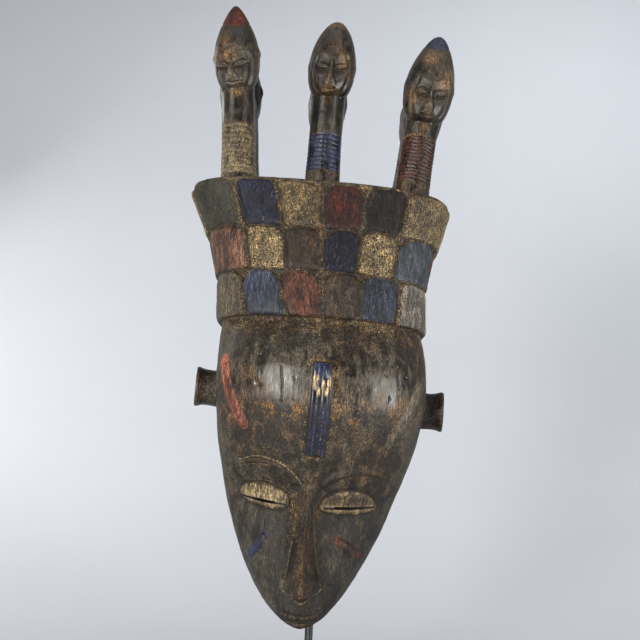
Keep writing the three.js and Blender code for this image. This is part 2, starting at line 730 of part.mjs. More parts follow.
function maskSolid() {
  const carved = joined([bodySolid(), ...faceSolids(), earSolid(1), earSolid(-1), ...crestSolids()]);
  const openings = joined([
    hollowSolid(),
    ...EYES.map((eye) => slitSolid(eye.slit)),
    upright(ROD_DIAMETER / 2 + GAP, HOLLOW_TOP - 8, ROD_TOP + GAP, ROD_SIDES),
  ]);
  return carved.subtract(openings);
}

// Stand

function footSolid() {
  const half = FOOT_SIDE / 2 - FOOT_BEVEL;
  const corner = FOOT_CORNER - FOOT_BEVEL;
  const outline = new THREE.Shape();
  outline.moveTo(-half + corner, -half);
  outline.lineTo(half - corner, -half);
  outline.absarc(half - corner, -half + corner, corner, -QUARTER, 0);
  outline.lineTo(half, half - corner);
  outline.absarc(half - corner, half - corner, corner, 0, QUARTER);
  outline.lineTo(-half + corner, half);
  outline.absarc(-half + corner, half - corner, corner, QUARTER, Math.PI);
  outline.lineTo(-half, -half + corner);
  outline.absarc(-half + corner, -half + corner, corner, Math.PI, Math.PI + QUARTER);
  const plate = new THREE.ExtrudeGeometry(outline, {
    depth: FOOT_THICK - 2 * FOOT_BEVEL,
    bevelThickness: FOOT_BEVEL,
    bevelSize: FOOT_BEVEL,
    bevelSegments: 1,
    curveSegments: 3,
  });
  plate.translate(0, 0, FOOT_BEVEL);
  const hole = upright(ROD_DIAMETER / 2 + GAP, FOOT_THICK - FOOT_HOLE_DEPTH, FOOT_THICK + 5, ROD_SIDES);
  return solidOf(plate).subtract(hole);
}

function rodSolid() {
  return upright(ROD_DIAMETER / 2, FOOT_THICK - FOOT_HOLE_DEPTH + GAP, ROD_TOP, ROD_SIDES);
}

const wood = new THREE.MeshStandardMaterial({ color: 0x4a3b2d, roughness: 0.55, metalness: 0 });
const steel = new THREE.MeshStandardMaterial({ color: 0x2c2d2d, roughness: 0.5, metalness: 0.3 });

function part(name, solid, material) {
  const mesh = new THREE.Mesh(geometryOf(solid), material);
  mesh.name = name;
  return mesh;
}

const group = new THREE.Group();
group.add(part('mask', maskSolid(), wood));
group.add(part('stand_rod', rodSolid(), steel));
group.add(part('stand_foot', footSolid(), steel));

export default group;
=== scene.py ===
import math

import bpy
import numpy as np
from mathutils import Matrix, Vector


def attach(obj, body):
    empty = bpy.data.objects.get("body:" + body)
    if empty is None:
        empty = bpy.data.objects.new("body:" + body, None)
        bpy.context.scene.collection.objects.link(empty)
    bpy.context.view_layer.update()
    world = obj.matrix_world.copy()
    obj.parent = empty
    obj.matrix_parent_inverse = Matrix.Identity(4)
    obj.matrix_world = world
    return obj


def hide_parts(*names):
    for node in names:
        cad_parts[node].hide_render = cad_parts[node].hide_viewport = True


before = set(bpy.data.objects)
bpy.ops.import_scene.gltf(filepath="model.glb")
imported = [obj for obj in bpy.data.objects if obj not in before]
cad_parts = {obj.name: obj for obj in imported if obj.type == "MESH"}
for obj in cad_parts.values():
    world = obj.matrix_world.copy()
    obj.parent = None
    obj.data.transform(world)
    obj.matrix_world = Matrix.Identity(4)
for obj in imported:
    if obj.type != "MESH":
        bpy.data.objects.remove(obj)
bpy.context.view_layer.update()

# A carved and painted face mask on a thin rod: the look of it round the CAD frame.
# Sizes are millimetres, as in the CAD part, until a mesh is made.
MM = 0.001
SEED = 7
QUARTER = math.pi / 2

# The body from chin to crown: height, half width, y of the widest line, of the front and of the back,
# squareness of the front arc, sideways shift of the middle line, drop of a level line towards +X
STATIONS = [
    [80, 3, -41, -46, -37, 2.0, -3.6, 0.0],
    [82, 9.5, -34, -50, -29, 2.0, -3.7, 0.0],
    [86, 17, -27, -53, -18, 2.0, -3.8, 0.0],
    [92, 24.5, -18, -54, -7, 2.0, -4.0, 0.0],
    [100, 32, -10, -53, 4, 2.0, -4.0, 0.005],
    [112, 40.3, -4, -51, 15, 2.0, -4.0, 0.015],
    [128, 48.5, 0, -49, 25, 2.1, -3.6, 0.03],
    [148, 57, 0, -47, 32, 2.1, -2.8, 0.04],
    [165, 62.9, 0, -47.5, 36, 2.1, -2.0, 0.045],
    [180, 67.5, 0, -53, 39, 2.2, -0.6, 0.05],
    [195, 71.8, 0, -61, 41, 2.3, 0.6, 0.058],
    [212, 75.4, 0, -69, 42, 2.3, 1.9, 0.06],
    [230, 78, -1, -74, 42, 2.3, 2.7, 0.06],
    [248, 79.3, -2, -75, 42, 2.3, 3.0, 0.058],
    [264, 79, -2, -71, 42, 2.3, 2.8, 0.045],
    [276, 77.8, -2, -65, 42, 2.4, 2.0, 0.03],
    [286, 76.2, -2, -59, 42, 2.5, 1.0, 0.022],
    [289, 77, -2, -59, 42, 2.6, 0.7, 0.02],
    [302, 77.2, -2, -58, 42, 2.8, 0.0, 0.02],
    [322, 78.8, -2, -55.5, 42, 2.9, -0.6, 0.025],
    [342, 83.3, -2, -54, 42, 3.0, -1.2, 0.03],
    [362, 89.6, -2, -51.5, 42, 3.0, -2.0, 0.034],
    [380, 96.6, -2, -49.5, 42, 3.0, -3.4, 0.035],
    [389, 99.6, -2, -48.7, 42, 3.0, -4.2, 0.034],
    [392.5, 98.8, -2, -47.4, 41.4, 3.0, -4.4, 0.034],
    [395, 94, -2, -43.5, 38, 2.8, -4.4, 0.034],
]
HALF, WIDE, FRONT, BACK, SQUARE, SHIFT, DROP = range(1, 8)

# Soft forms of the face: distance from the middle line, height, half width, half height, rise
SOFT_FORMS = [
    [30, 162, 19, 11, -4],
    [30, 186, 26, 9, 1.6],
    [27, 135, 14, 14, 1.2],
    [0, 92, 16, 9, 2],
]

# The side walls run on past arc 1 by the span, and draw in by the taper at the back
SIDE_SPAN = 0.4
SIDE_TAPER = 0.02
ARC_STEP = 0.002
LEVEL_STEP = 0.05
ARC_SAMPLES = 641
BACK_SAMPLES = 42
LINE_SAMPLES = 40
CHIN = 80
CHIN_TIP = 8
CROWN = 394.6
CROWN_EDGE = 393.5
CROWN_BULGE = 3

# Pads of the headdress; columns are shares of the half width, and the arcs go on round the corner
PAD_ROWS = [
    {"bottom": 286.8, "top": 319.2, "columns": [0, 0.345, 0.7]},
    {"bottom": 320.6, "top": 352.4, "columns": [0, 0.32, 0.64]},
    {"bottom": 353.8, "top": 389.6, "columns": [0, 0.32, 0.64]},
]
CORNER_ARC = 0.86
SIDE_ARCS = [1.13, 1.37]
PAD_THICK = 3.2
PAD_ROUND = 5
PAD_FOOT_CORNER = 2.6
PAD_GROOVE = 0.45
PAINT_INSET = 0.5
SEAM = 286.4
SEAM_LAP = 2.4
SEAM_STEP = 0.8
BODY_RINGS = 210
HEADDRESS_RINGS = 220

# Rounding of the upper corners of each pad, from the bottom row up and from -X to +X round the front
PAD_CORNERS = [
    [6, 6, 6.5, 8.5, 6.5, 6.5, 5.5, 4, 5, 6],
    [5, 5, 4, 3.5, 4, 7.5, 3.5, 8.5, 5, 5],
    [5, 5, 7, 3.5, 3, 7.5, 6, 4, 5, 5],
]

# Face: no paint lies behind FACE_BACK in Y; an eye has its corners, its rise above and below them,
# and its slit's line and half height
FACE_BACK = 30
EYES = [
    {"inner": [-12, 159.8], "outer": [-48.8, 164], "up": 8.7, "down": 6.8,
     "slit": [[-46.5, 161.4], [-31, 159.2], [-14.5, 158.3]], "half": 0.5},
    {"inner": [8, 158.2], "outer": [48.4, 160.8], "up": 11.2, "down": 4.8,
     "slit": [[11.5, 158.2], [29, 159.4], [46, 161.2]], "half": 0.6},
]
EYE_HEIGHT = 3.4
SLIT_CORNER = 0.25
SLIT_RISE = 0.3
SLIT_FROM = -75
SLIT_TO = -15
LID_ROOT = 18
BROW_LINE = [[51, 182.5], [42, 185.6], [30, 185.2], [18, 181.2], [8.5, 173]]
BROW_WIDTH = 5.6
BROW_HEIGHT = 2
TEMPLE_LINES = [
    [[-69.8, 254], [-67.7, 243.4], [-64.8, 233], [-60.3, 223.2], [-55.2, 215.6], [-50.4, 208.6]],
    [[71.4, 252], [67.7, 241.2], [63.5, 229.8], [57.2, 218.4], [49.9, 206.4]],
]
TEMPLE_WIDTH = 7.2
CHEEK_LINES = [
    [[-26.5, 137.2], [-32.2, 129.8], [-37.8, 122]],
    [[22.1, 137.6], [30.5, 132.4], [38.6, 127]],
]
CHEEK_WIDTH = 6.2
MARK_HEIGHT = 1.3
STRIPE_BOTTOM = 192
STRIPE_TOP = 254
STRIPE_MIDDLE = 0.4
STRIPE_RIBS = 4
STRIPE_HALF = 5.4
STRIPE_SWELL = 1.5
STRIPE_HEIGHT = 0.9
RIB_HEIGHT = 0.6
UPPER_LIP = [[-12, 91.3], [-6.5, 89.9], [0.5, 89.2], [8, 89.8], [13.8, 92.9]]
LOWER_LIP = [[-8.8, 86], [0.6, 84.2], [10, 86.6]]
LIP_WIDTH = 3.8
LIP_HEIGHT = 1.5

# Nose: height, half width, rise of the ridge, rise of the wings
NOSE = [
    [97.5, 12.6, 20, 6.5],
    [103, 13.2, 22.5, 8],
    [110, 13.4, 22, 8],
    [118, 10.6, 19, 4],
    [132, 8.6, 15, 2],
    [148, 7.2, 10.5, 1],
    [163, 7, 7.5, 0.8],
    [176, 8.5, 3.5, 0.4],
    [186, 7, -0.2, -0.2],
]
NOSE_LIFT = 9.5
NOSE_SINK = 0.2

# Cream showing through the stripe's blue: across, height, half width, half height
STRIPE_WORN = [
    [-5, 240.5, 1.3, 4.4], [1, 238.5, 1.2, 4.4], [4.8, 240, 1.5, 2.8], [4, 235.2, 1.4, 2.6],
    [-1.8, 233.5, 1.1, 2.4], [-3, 243, 0.8, 2],
]

# Ear pegs: the profile's rows are radius and distance from the reach
EAR_HEIGHT = 235
EAR_Y = 2
EAR_TURN = 0.14
EAR_REACH = {-1: 95, 1: 94}
EAR_PROFILE = [[14.4, -26], [13.6, -10], [14.1, -4], [15.2, -1], [14.6, 1]]
EAR_DISH = 1.6

# Lines cut into the face and cracks in it: points, half width, depth, and how pale the dust in them is
FACE_LINES = [
    {"line": [[-50.8, 185], [-39.2, 188.6], [-28.2, 187.2], [-17.2, 183.2], [-5.1, 172.6]],
     "half": 0.8, "deep": 0.6, "pale": 0.85},
    {"line": [[-52.8, 180.6], [-39.8, 183.4], [-31, 183.4]], "half": 0.7, "deep": 0.5, "pale": 0.55},
    {"line": [[18.8, 181.2], [29.7, 186], [41.4, 187.6], [48.6, 185]], "half": 0.7, "deep": 0.4, "pale": 0},
    {"line": [[-7.5, 156], [-7.3, 144], [-8.8, 129], [-10.1, 119], [-12.6, 106.5]],
     "half": 0.7, "deep": 0.35, "pale": 0.5},
    {"line": [[-12.6, 106.5], [-6, 101], [0.2, 97.6], [7, 101.6], [13.3, 107.5]],
     "half": 0.7, "deep": 0.45, "pale": 0.7},
    {"line": [[5.3, 150], [7.4, 133], [10.8, 118], [13.3, 107.5]], "half": 0.7, "deep": 0.3, "pale": 0.45},
    {"line": [[-10.6, 88.8], [-6.4, 87.3], [0.6, 86.5], [8.7, 87.2], [13.3, 90.4]],
     "half": 0.8, "deep": 1, "pale": 0},
]
CRACKS = [
    {"line": [[-27.6, 249], [-26, 238], [-25.6, 225]], "half": 0.45, "deep": 0.7},
    {"line": [[51.9, 257], [52.9, 250], [53.9, 243]], "half": 0.5, "deep": 0.5},
    {"line": [[15.3, 279], [15.2, 274], [15.5, 269]], "half": 0.5, "deep": 0.5},
    {"line": [[-7.5, 278], [-7.6, 270], [-7.1, 262]], "half": 0.5, "deep": 0.4},
]

# Where dust lies beside the nose, where paint is rubbed into it, and where the wood is rubbed golden
INNER_CORNER = [[-33, 171.4], [-23.3, 168], [-12.3, 163], [-7.1, 152.2], [-7.6, 138]]
NOSE_FLANK = [[4.2, 157], [4.6, 138], [5.6, 118], [3.4, 104]]
FACE_STAINS = [
    {"line": [[-5.8, 255.2], [6.4, 255.2]], "half": 1, "strength": 0.7},
    {"line": [[-4.6, 191.2], [5.2, 191.2]], "half": 0.9, "strength": 0.5},
    {"line": [[8.6, 252], [9.4, 238], [10.6, 220]], "half": 3.2, "strength": 0.4},
    {"line": [[30, 180.4], [35, 180.8], [40, 180.4]], "half": 2.4, "strength": 0.4},
    {"line": [[-49, 243], [-45, 238], [-41, 232]], "half": 5, "strength": 0.55},
    {"line": [[5.8, 142.4], [6.7, 155.8], [11.1, 160.6]], "half": 1.6, "strength": 0.4},
    {"line": [[-1.6, 128], [-1, 114], [0.4, 101]], "half": 3.2, "strength": 0.45},
]

# Crests: chin is the front head's height above the crown and head its length; brow, cap and cap_dip
# are shares of that length; band and pitch are the neck's rings, face the turn of the carved face, boss
# a knob beside it, and rear how the rear head differs
CRESTS = [
    {"name": "carved_crest_left", "x": -69.2, "lean": -0.066, "bend": -0.0001, "chin": 74, "head": 79.5,
     "size": 0.97, "point": 0.46, "brow": 0.34, "rear": {"drop": 7, "size": 0.95, "shift": -1.5},
     "band": [4, 45], "pitch": 4.3, "cap": 0.8, "cap_dip": 0.14, "flutes": 0, "boss": 0,
     "face": -0.2, "ear": 1.8, "mouth": 8.5},
    {"name": "carved_crest_middle", "x": -3.6, "lean": 0.008, "bend": 0.00026, "chin": 71, "head": 71.5,
     "size": 1, "point": 0.14, "brow": 0.47, "rear": {"drop": 7, "size": 0.87, "shift": -1.8},
     "band": [10, 41], "pitch": 3.7, "cap": 2, "cap_dip": 0, "flutes": 0, "boss": 0,
     "face": 0, "ear": 0.7, "mouth": 5},
    {"name": "carved_crest_right", "x": 66.9, "lean": 0.112, "bend": 0.00025, "chin": 53, "head": 81,
     "size": 1.04, "point": 0.3, "brow": 0.41, "rear": {"drop": 1, "size": 0.94, "shift": 1},
     "band": [3, 41], "pitch": 3.0, "cap": 0.9, "cap_dip": 0.13, "flutes": 9, "boss": 1.3,
     "face": 0.05, "ear": 0.7, "mouth": 6},
]

# Measures that the crests share
CREST_BASE = 399
CREST_SINK = 14
NECK_RADIUS = 13.3
NECK_SPREAD = 19
NECK_WAIST = 9
RING_DEPTH = 0.6
RING_HALF = 0.45
HEAD_RADIUS = 18.9
HEAD_DEPTH = 1.04
HEAD_WIDEST = 0.42
CHIN_JUT = 6.5
CROWN_JUT = 1.5
HEAD_EYE_SIDE = 7.9
HEAD_EYE_HALF = 5.2
HEAD_EYE_UP = 0.66
HEAD_SLANT = 0.36
HEAD_RIM = 14.2
HEAD_RIM_MIDDLE = 0.56
HEAD_RIM_TALL = 0.64

# Nose of a crest head: level as a share of the brows' height, rise, half width
HEAD_NOSE = [
    [0.12, 0, 3.8],
    [0.19, 2.6, 4.1],
    [0.28, 3.5, 3.5],
    [0.38, 3.2, 2.2],
    [0.6, 2.2, 1.5],
    [0.85, 1.1, 1.5],
    [1.02, 0, 1.8],
]

# Hollow behind the face, and the rod's hole above it; the inner walls' finish starts between the
# two depths under the skin, and lies between the two levels
WALL_SIDE = 13
WALL_FRONT = 15
HOLLOW_BOTTOM = 99
HOLLOW_TOP = 302
HOLLOW_REACH = 70
HOLLOW_SHOULDER = 268
HOLLOW_ARCH = 40
INNER_DEPTHS = (6.5, 9)
INNER_LEVELS = (93, 306)
ROD_X = 3
ROD_Y = 20
ROD_HOLE = 3.3
ROD_TOP = 340.3
BORE_LAP = 8

# Fineness of the meshes
FACE_VOXEL = 0.62
CREST_VOXEL = 0.46
FACE_TRIANGLES = 190000
CREST_TRIANGLES = 150000
FACE_CAVITY_ROUNDS = 10
CREST_CAVITY_ROUNDS = 14

# Distances in mm that the material's masks span; ELSEWHERE keeps a patch off points that aren't its own
INSIDE_SPAN = 16
LINE_SPAN = 4
CAVITY_SPAN = 2
ELSEWHERE = -50


# Numbers

def along(table, column, position):
    """Smooth value of one column of a table of stations."""
    stations = np.array([row[0] for row in table], float)
    values = np.array([row[column] for row in table], float)
    gaps = np.diff(stations)
    rises = np.diff(values) / gaps
    slopes = np.empty(len(stations))
    slopes[0] = rises[0]
    slopes[-1] = rises[-1]
    product = rises[:-1] * rises[1:]
    total = rises[:-1] + rises[1:]
    slopes[1:-1] = np.where(product > 0, 2 * product / np.where(total == 0, 1, total), 0)
    place = np.clip(np.asarray(position, float), stations[0], stations[-1])
    i = np.clip(np.searchsorted(stations, place, side="right") - 1, 0, len(stations) - 2)
    span = gaps[i]
    s = (place - stations[i]) / span
    s2 = s * s
    s3 = s2 * s
    return ((2 * s3 - 3 * s2 + 1) * values[i] + (s3 - 2 * s2 + s) * slopes[i] * span
            + (3 * s2 - 2 * s3) * values[i + 1] + (s3 - s2) * slopes[i + 1] * span)


def bump(distance):
    return np.exp(-np.square(distance))


def spot(x, z, middle_x, middle_z, wide, tall):
    """A soft spot, 1 in its middle."""
    return bump((x - middle_x) / wide) * bump((z - middle_z) / tall)


def smooth(value, low, high):
    """0 below low, 1 above high, and a soft step between."""
    t = np.clip((value - low) / (high - low), 0, 1)
    return t * t * (3 - 2 * t)


LATTICE_SIDE = 64
LATTICE = np.random.default_rng(SEED).random((LATTICE_SIDE,) * 3) * 2 - 1


def noise(points, cell, shift=0.0):
    """Soft noise from -1 to 1; cell is the size of a lump in mm, one number or one for each axis."""
    q = points / np.array(cell, float) + shift
    i = np.floor(q).astype(int)
    f = q - i
    f = f * f * (3 - 2 * f)
    value = np.zeros(points.shape[:-1])
    for corner in range(8):
        step = np.array([corner & 1, (corner >> 1) & 1, corner >> 2])
        weight = np.prod(np.where(step == 1, f, 1 - f), axis=-1)
        j = (i + step) % LATTICE_SIDE
        value += weight * LATTICE[j[..., 0], j[..., 1], j[..., 2]]
    return value


def spline(points, share):
    """Points of a smooth curve through the given ones, for shares from 0 to 1."""
    p = np.array(points, float)
    last = len(p) - 1
    place = np.clip(share, 0, 1) * last
    i = np.minimum(np.floor(place).astype(int), last - 1)
    w = (place - i)[..., None]
    before = p[np.maximum(i - 1, 0)]
    start = p[i]
    end = p[i + 1]
    after = p[np.minimum(i + 2, last)]
    pull0 = (end - before) * 0.5
    pull1 = (after - start) * 0.5
    return ((2 * w**3 - 3 * w**2 + 1) * start + (w**3 - 2 * w**2 + w) * pull0
            + (3 * w**2 - 2 * w**3) * end + (w**3 - w**2) * pull1)


# The body's skin

def soft_form(x, z):
    """Hollows round the eyes and the small muzzle, as a rise of the face towards the viewer."""
    return sum(rise * spot(np.abs(x), z, *place) for *place, rise in SOFT_FORMS)


def body_at(z):
    """Half width, widest line, front, back and squareness of the body at a height."""
    return [along(STATIONS, column, z) for column in (HALF, WIDE, FRONT, BACK, SQUARE)]


def skin(arc, z):
    """The straightened body's skin: arc runs from -1 to 1 across the front and on along the side walls."""
    half, wide, front, back, square = body_at(z)
    power = 2 / square
    reach = np.abs(arc)
    turn = np.minimum(reach, 1) * QUARTER
    depth = np.power(np.maximum(np.cos(turn), 0), power)
    behind = np.clip((reach - 1) / SIDE_SPAN, 0, 1)
    x = np.sign(arc) * half * np.power(np.sin(turn), power) * (1 - SIDE_TAPER * behind * behind)
    y = wide - (wide - front) * depth - soft_form(x, z) * depth + (back - wide) * behind
    return np.stack([x, y, z + 0 * x], axis=-1)


def raised(arc, z, height):
    """Points of the skin lifted outward by a height."""
    along_arc = skin(arc + ARC_STEP, z) - skin(arc - ARC_STEP, z)
    along_z = skin(arc, z + LEVEL_STEP) - skin(arc, z - LEVEL_STEP)
    outward = np.cross(along_arc, along_z)
    outward /= np.linalg.norm(outward, axis=-1, keepdims=True) + 1e-12
    return skin(arc, z) + outward * np.asarray(height)[..., None]


def arc_of(x, z):
    power = along(STATIONS, SQUARE, z) / 2
    share = np.minimum(np.abs(x) / along(STATIONS, HALF, z), 1)
    return np.sign(x) * np.arcsin(np.power(share, power)) / QUARTER


def leaned(points):
    """The hand-cut lean: the middle line wanders and level lines drop towards +X."""
    x, y, z = points[..., 0], points[..., 1], points[..., 2]
    return np.stack([x + along(STATIONS, SHIFT, z), y, z - along(STATIONS, DROP, z) * x], axis=-1)


def straightened(points):
    """The inverse of leaned."""
    x, y, z = points[..., 0], points[..., 1], points[..., 2]
    level = z.copy()
    for _ in range(4):
        across = x - along(STATIONS, SHIFT, level)
        level = z + along(STATIONS, DROP, level) * across
    return np.stack([x - along(STATIONS, SHIFT, level), y, level], axis=-1)


def arc_at(points):
    """Arc position of straightened points on or near the skin."""
    x, y, z = points[..., 0], points[..., 1], points[..., 2]
    half, wide, front, back, square = body_at(z)
    power = square / 2
    across = np.power(np.abs(x) / half, power)
    depth = np.power(np.maximum(wide - y, 0) / (wide - front), power)
    front_arc = np.arctan2(across, depth) / QUARTER
    side_arc = 1 + SIDE_SPAN * (y - wide) / (back - wide)
    return np.sign(x) * np.where(y < wide, front_arc, side_arc)


def depth_under(flat):
    """How deep straightened points lie under the body's skin, in mm, roughly."""
    half, wide, front, _, power = body_at(flat[:, 2])
    side = np.abs(flat[:, 0])
    forward = np.maximum(wide - flat[:, 1], 0) / (wide - front)
    value = np.power(side / half, power) + np.power(forward, power)
    return (1 - np.power(value, 1 / power)) * np.minimum(half, wide - front)


def inner_share(points, flat):
    """1 on the hollow's walls and on the cut back, 0 on the carved outside."""
    z = flat[:, 2]
    low, high = INNER_LEVELS
    deep = smooth(depth_under(flat), *INNER_DEPTHS) * smooth(high - z, 0, 3) * smooth(z - low, 0, 4)
    back = smooth(points[:, 1] - along(STATIONS, BACK, z), -1.4, -0.6)
    return np.clip(np.maximum(deep, back), 0, 1)


# Meshes, as vertices and triangles

def quads(rows, columns, wrap):
    """Triangles of a grid of points; with wrap its last column joins the first."""
    index = np.arange(rows * columns).reshape(rows, columns)
    right = np.roll(index, -1, axis=1) if wrap else index[:, 1:]
    left = index if wrap else index[:, :-1]
    a, b, c, d = left[:-1].ravel(), right[:-1].ravel(), right[1:].ravel(), left[1:].ravel()
    return np.concatenate([np.stack([a, b, c], 1), np.stack([a, c, d], 1)])


def oriented(points, faces):
    a, b, c = points[faces[:, 0]], points[faces[:, 1]], points[faces[:, 2]]
    if np.einsum("ij,ij->i", a, np.cross(b, c)).sum() < 0:
        faces = faces[:, ::-1]
    return points, faces


def loft(rings):
    """A closed skin through rings of equal length."""
    rows, columns = rings.shape[:2]
    points = np.concatenate([rings.reshape(-1, 3), rings[0].mean(0)[None], rings[-1].mean(0)[None]])
    faces = [quads(rows, columns, True)]
    low = np.arange(columns)
    high = low + (rows - 1) * columns
    foot = rows * columns
    faces.append(np.stack([np.roll(low, -1), low, np.full(columns, foot)], 1))
    faces.append(np.stack([high, np.roll(high, -1), np.full(columns, foot + 1)], 1))
    return oriented(points, np.concatenate(faces))


def slab(top, bottom):
    """A closed skin between two grids of points with a common border."""
    rows, columns = top.shape[:2]
    count = rows * columns
    points = np.concatenate([top.reshape(-1, 3), bottom.reshape(-1, 3)])
    sheet = quads(rows, columns, False)
    index = np.arange(count).reshape(rows, columns)
    border = np.concatenate([index[0, :-1], index[:-1, -1], index[-1, :0:-1], index[:0:-1, 0]])
    after = np.roll(border, -1)
    walls = [
        np.stack([after, border, border + count], 1),
        np.stack([after, border + count, after + count], 1),
    ]
    return oriented(points, np.concatenate([sheet, sheet[:, ::-1] + count] + walls))


def together(parts):
    points = []
    faces = []
    count = 0
    for part_points, part_faces in parts:
        points.append(part_points)
        faces.append(part_faces + count)
        count += len(part_points)
    return np.concatenate(points), np.concatenate(faces)


# Headdress and body

def pad_arcs(row):
    middle = (row["bottom"] + row["top"]) / 2
    half = along(STATIONS, HALF, middle)
    arcs = [float(arc_of(share * half, middle)) for share in row["columns"]]
    arcs += [CORNER_ARC] + SIDE_ARCS
    return np.array([-arc for arc in arcs[:0:-1]] + arcs)


def pad_field(arc, z):
    """How far each point lies inside its pad, in mm, the pad's row and column, and the level in it."""
    step = skin(arc + ARC_STEP, z) - skin(arc - ARC_STEP, z)
    stretch = np.linalg.norm(step, axis=-1) / (2 * ARC_STEP)
    where = np.stack([arc * 90, z * 0.9 + 17 * arc, z], axis=-1)
    arc = arc + 0.9 * noise(where, 16) / stretch + 0.35 * noise(where, 5, 5.3) / stretch
    z = z + 0.7 * noise(where, 15, 9.1) + 0.3 * noise(where, 5, 2.6)
    best = np.full(arc.shape, -9.0)
    row_of = np.zeros(arc.shape, int)
    column_of = np.zeros(arc.shape, int)
    level_of = np.zeros(arc.shape)
    for number, row in enumerate(PAD_ROWS):
        arcs = pad_arcs(row)
        column = np.clip(np.searchsorted(arcs, arc) - 1, 0, len(arcs) - 2)
        half = (arcs[column + 1] - arcs[column]) / 2
        across = (arc - arcs[column]) / half - 1
        height = row["top"] - row["bottom"]
        up = (z - row["bottom"]) / height
        top_corner = np.array(PAD_CORNERS[number])[column]
        for _ in range(3):
            shoulder = np.clip((up - 0.6) / 0.4, 0, 1.2)
            taper = 1 - 0.018 * top_corner * shoulder * shoulder
            a = across / taper
            arch = 0.4 * top_corner * shoulder * (0.35 - 0.65 * np.clip(a * a, 0, 1.4))
            up = (z - row["bottom"] - arch) / height
        side = (1 - np.abs(a)) * half * stretch * taper - PAD_GROOVE
        level = np.minimum(up, 1 - up) * height
        corner = np.where(up < 0.5, PAD_FOOT_CORNER, top_corner)
        qx = corner - side
        qy = corner - level
        outside = np.hypot(np.maximum(qx, 0), np.maximum(qy, 0)) + np.minimum(np.maximum(qx, qy), 0)
        inside = corner - outside
        better = inside > best
        best = np.where(better, inside, best)
        row_of = np.where(better, number, row_of)
        column_of = np.where(better, column, column_of)
        level_of = np.where(better, up, level_of)
    return best, row_of, column_of, level_of


def pad_height(arc, z):
    inside, row, column, up = pad_field(arc, z)
    t = np.clip((inside + 0.4) / PAD_ROUND, 0, 1)
    thick = (PAD_THICK + 0.5 * LATTICE[row, column, 3]) * (1.15 - 0.3 * np.clip(up, 0, 1))
    return thick * np.sqrt(1 - (1 - t) ** 2.4) * smooth(z, SEAM, SEAM + 1.4)


def shell(levels, rise):
    """Rings round the body's outside and across its flat back."""
    arcs = np.linspace(-1 - SIDE_SPAN, 1 + SIDE_SPAN, ARC_SAMPLES)
    arc, z = np.meshgrid(arcs, levels)
    front = raised(arc, z, rise(arc, z))
    across = np.linspace(1, -1, BACK_SAMPLES)[None, 1:-1, None]
    right = front[:, -1:, :]
    left = front[:, :1, :]
    back = (right + left) / 2 + (right - left) / 2 * across
    return leaned(np.concatenate([front, back], axis=1))


def face_body_mesh():
    tip = CHIN + CHIN_TIP * np.linspace(0, 1, 12) ** 1.6
    levels = np.concatenate([tip, np.linspace(CHIN + CHIN_TIP + 1, SEAM + SEAM_LAP, BODY_RINGS)])
    return loft(shell(levels, lambda arc, z: -SEAM_STEP * smooth(z, SEAM, SEAM + 1) + 0 * arc))


def headdress_mesh():
    def rise(arc, z):
        return pad_height(arc, z) * smooth(CROWN_EDGE - z, 0, 3)

    rings = shell(np.linspace(SEAM, CROWN, HEADDRESS_RINGS), rise)
    middle = rings[-1].mean(0)
    crown = []
    for share in np.linspace(1, 0, 16)[1:-1]:
        ring = middle + (rings[-1] - middle) * share
        ring[:, 2] += CROWN_BULGE * (1 - share)
        crown.append(ring)
    return loft(np.concatenate([rings, np.array(crown)]))


# Face

def face_slab(place, rise, across, up, root=3.0):
    a, b = np.meshgrid(np.linspace(-1, 1, across), np.linspace(-1, 1, up))
    x, z = place(a, b)
    arc = arc_of(x, z)
    top = leaned(raised(arc, z, rise(a, b)))
    bottom = leaned(raised(arc, z, np.full(a.shape, -root)))
    return slab(top, bottom)


def mirrored(line):
    return [[-x, z] for x, z in line]


def band_mesh(line, width, height, steps):
    def place(a, b):
        share = (a + 1) / 2
        p = spline(line, share)
        t = spline(line, share + 0.005) - spline(line, share - 0.005)
        t /= np.linalg.norm(t, axis=-1, keepdims=True)
        taper = np.sqrt(np.maximum(1 - np.abs(a) ** 6, 0.16))
        half = b * width * taper / 2
        return p[..., 0] - t[..., 1] * half, p[..., 1] + t[..., 0] * half

    def rise(a, b):
        return 0.2 + height * (1 - np.abs(b) ** 2.5) * np.sqrt(np.maximum(1 - np.abs(a) ** 8, 0.1))

    return face_slab(place, rise, steps, 15)


def eye_line(eye, share):
    x = eye["inner"][0] + (eye["outer"][0] - eye["inner"][0]) * share
    z = eye["inner"][1] + (eye["outer"][1] - eye["inner"][1]) * share
    return x, z


def eye_share(eye, x):
    return (x - eye["inner"][0]) / (eye["outer"][0] - eye["inner"][0])


def eye_opening(a):
    return np.power(np.maximum(1 - a * a, 0), 0.48) + 0.06


def eye_mesh(eye):
    def place(a, b):
        x, z = eye_line(eye, (a + 1) / 2)
        return x, z + b * eye_opening(a) * np.where(b > 0, eye["up"], eye["down"])

    def rise(a, b):
        crown = np.power(np.maximum(1 - b * b, 0), 0.7)
        return 0.3 + EYE_HEIGHT * np.sqrt(np.maximum(1 - a * a, 0)) * crown

    return face_slab(place, rise, 61, 31)


def slit_mesh(eye):
    a = np.linspace(-1, 1, 61)
    x, z = spline(eye["slit"], (a + 1) / 2).T
    lid_front = skin(arc_of(x, z), z)[:, 1] - EYE_HEIGHT
    reach = SLIT_CORNER + (1 - a * a) * eye["half"]
    rings = []
    for y in np.linspace(SLIT_FROM, SLIT_TO, 3):
        level = z + SLIT_RISE * (y - lid_front)
        high = np.stack([x, y + 0 * x, level + reach], 1)
        low = np.stack([x, y + 0 * x, level - reach], 1)[::-1]
        rings.append(leaned(np.concatenate([high, low])))
    return loft(np.array(rings))


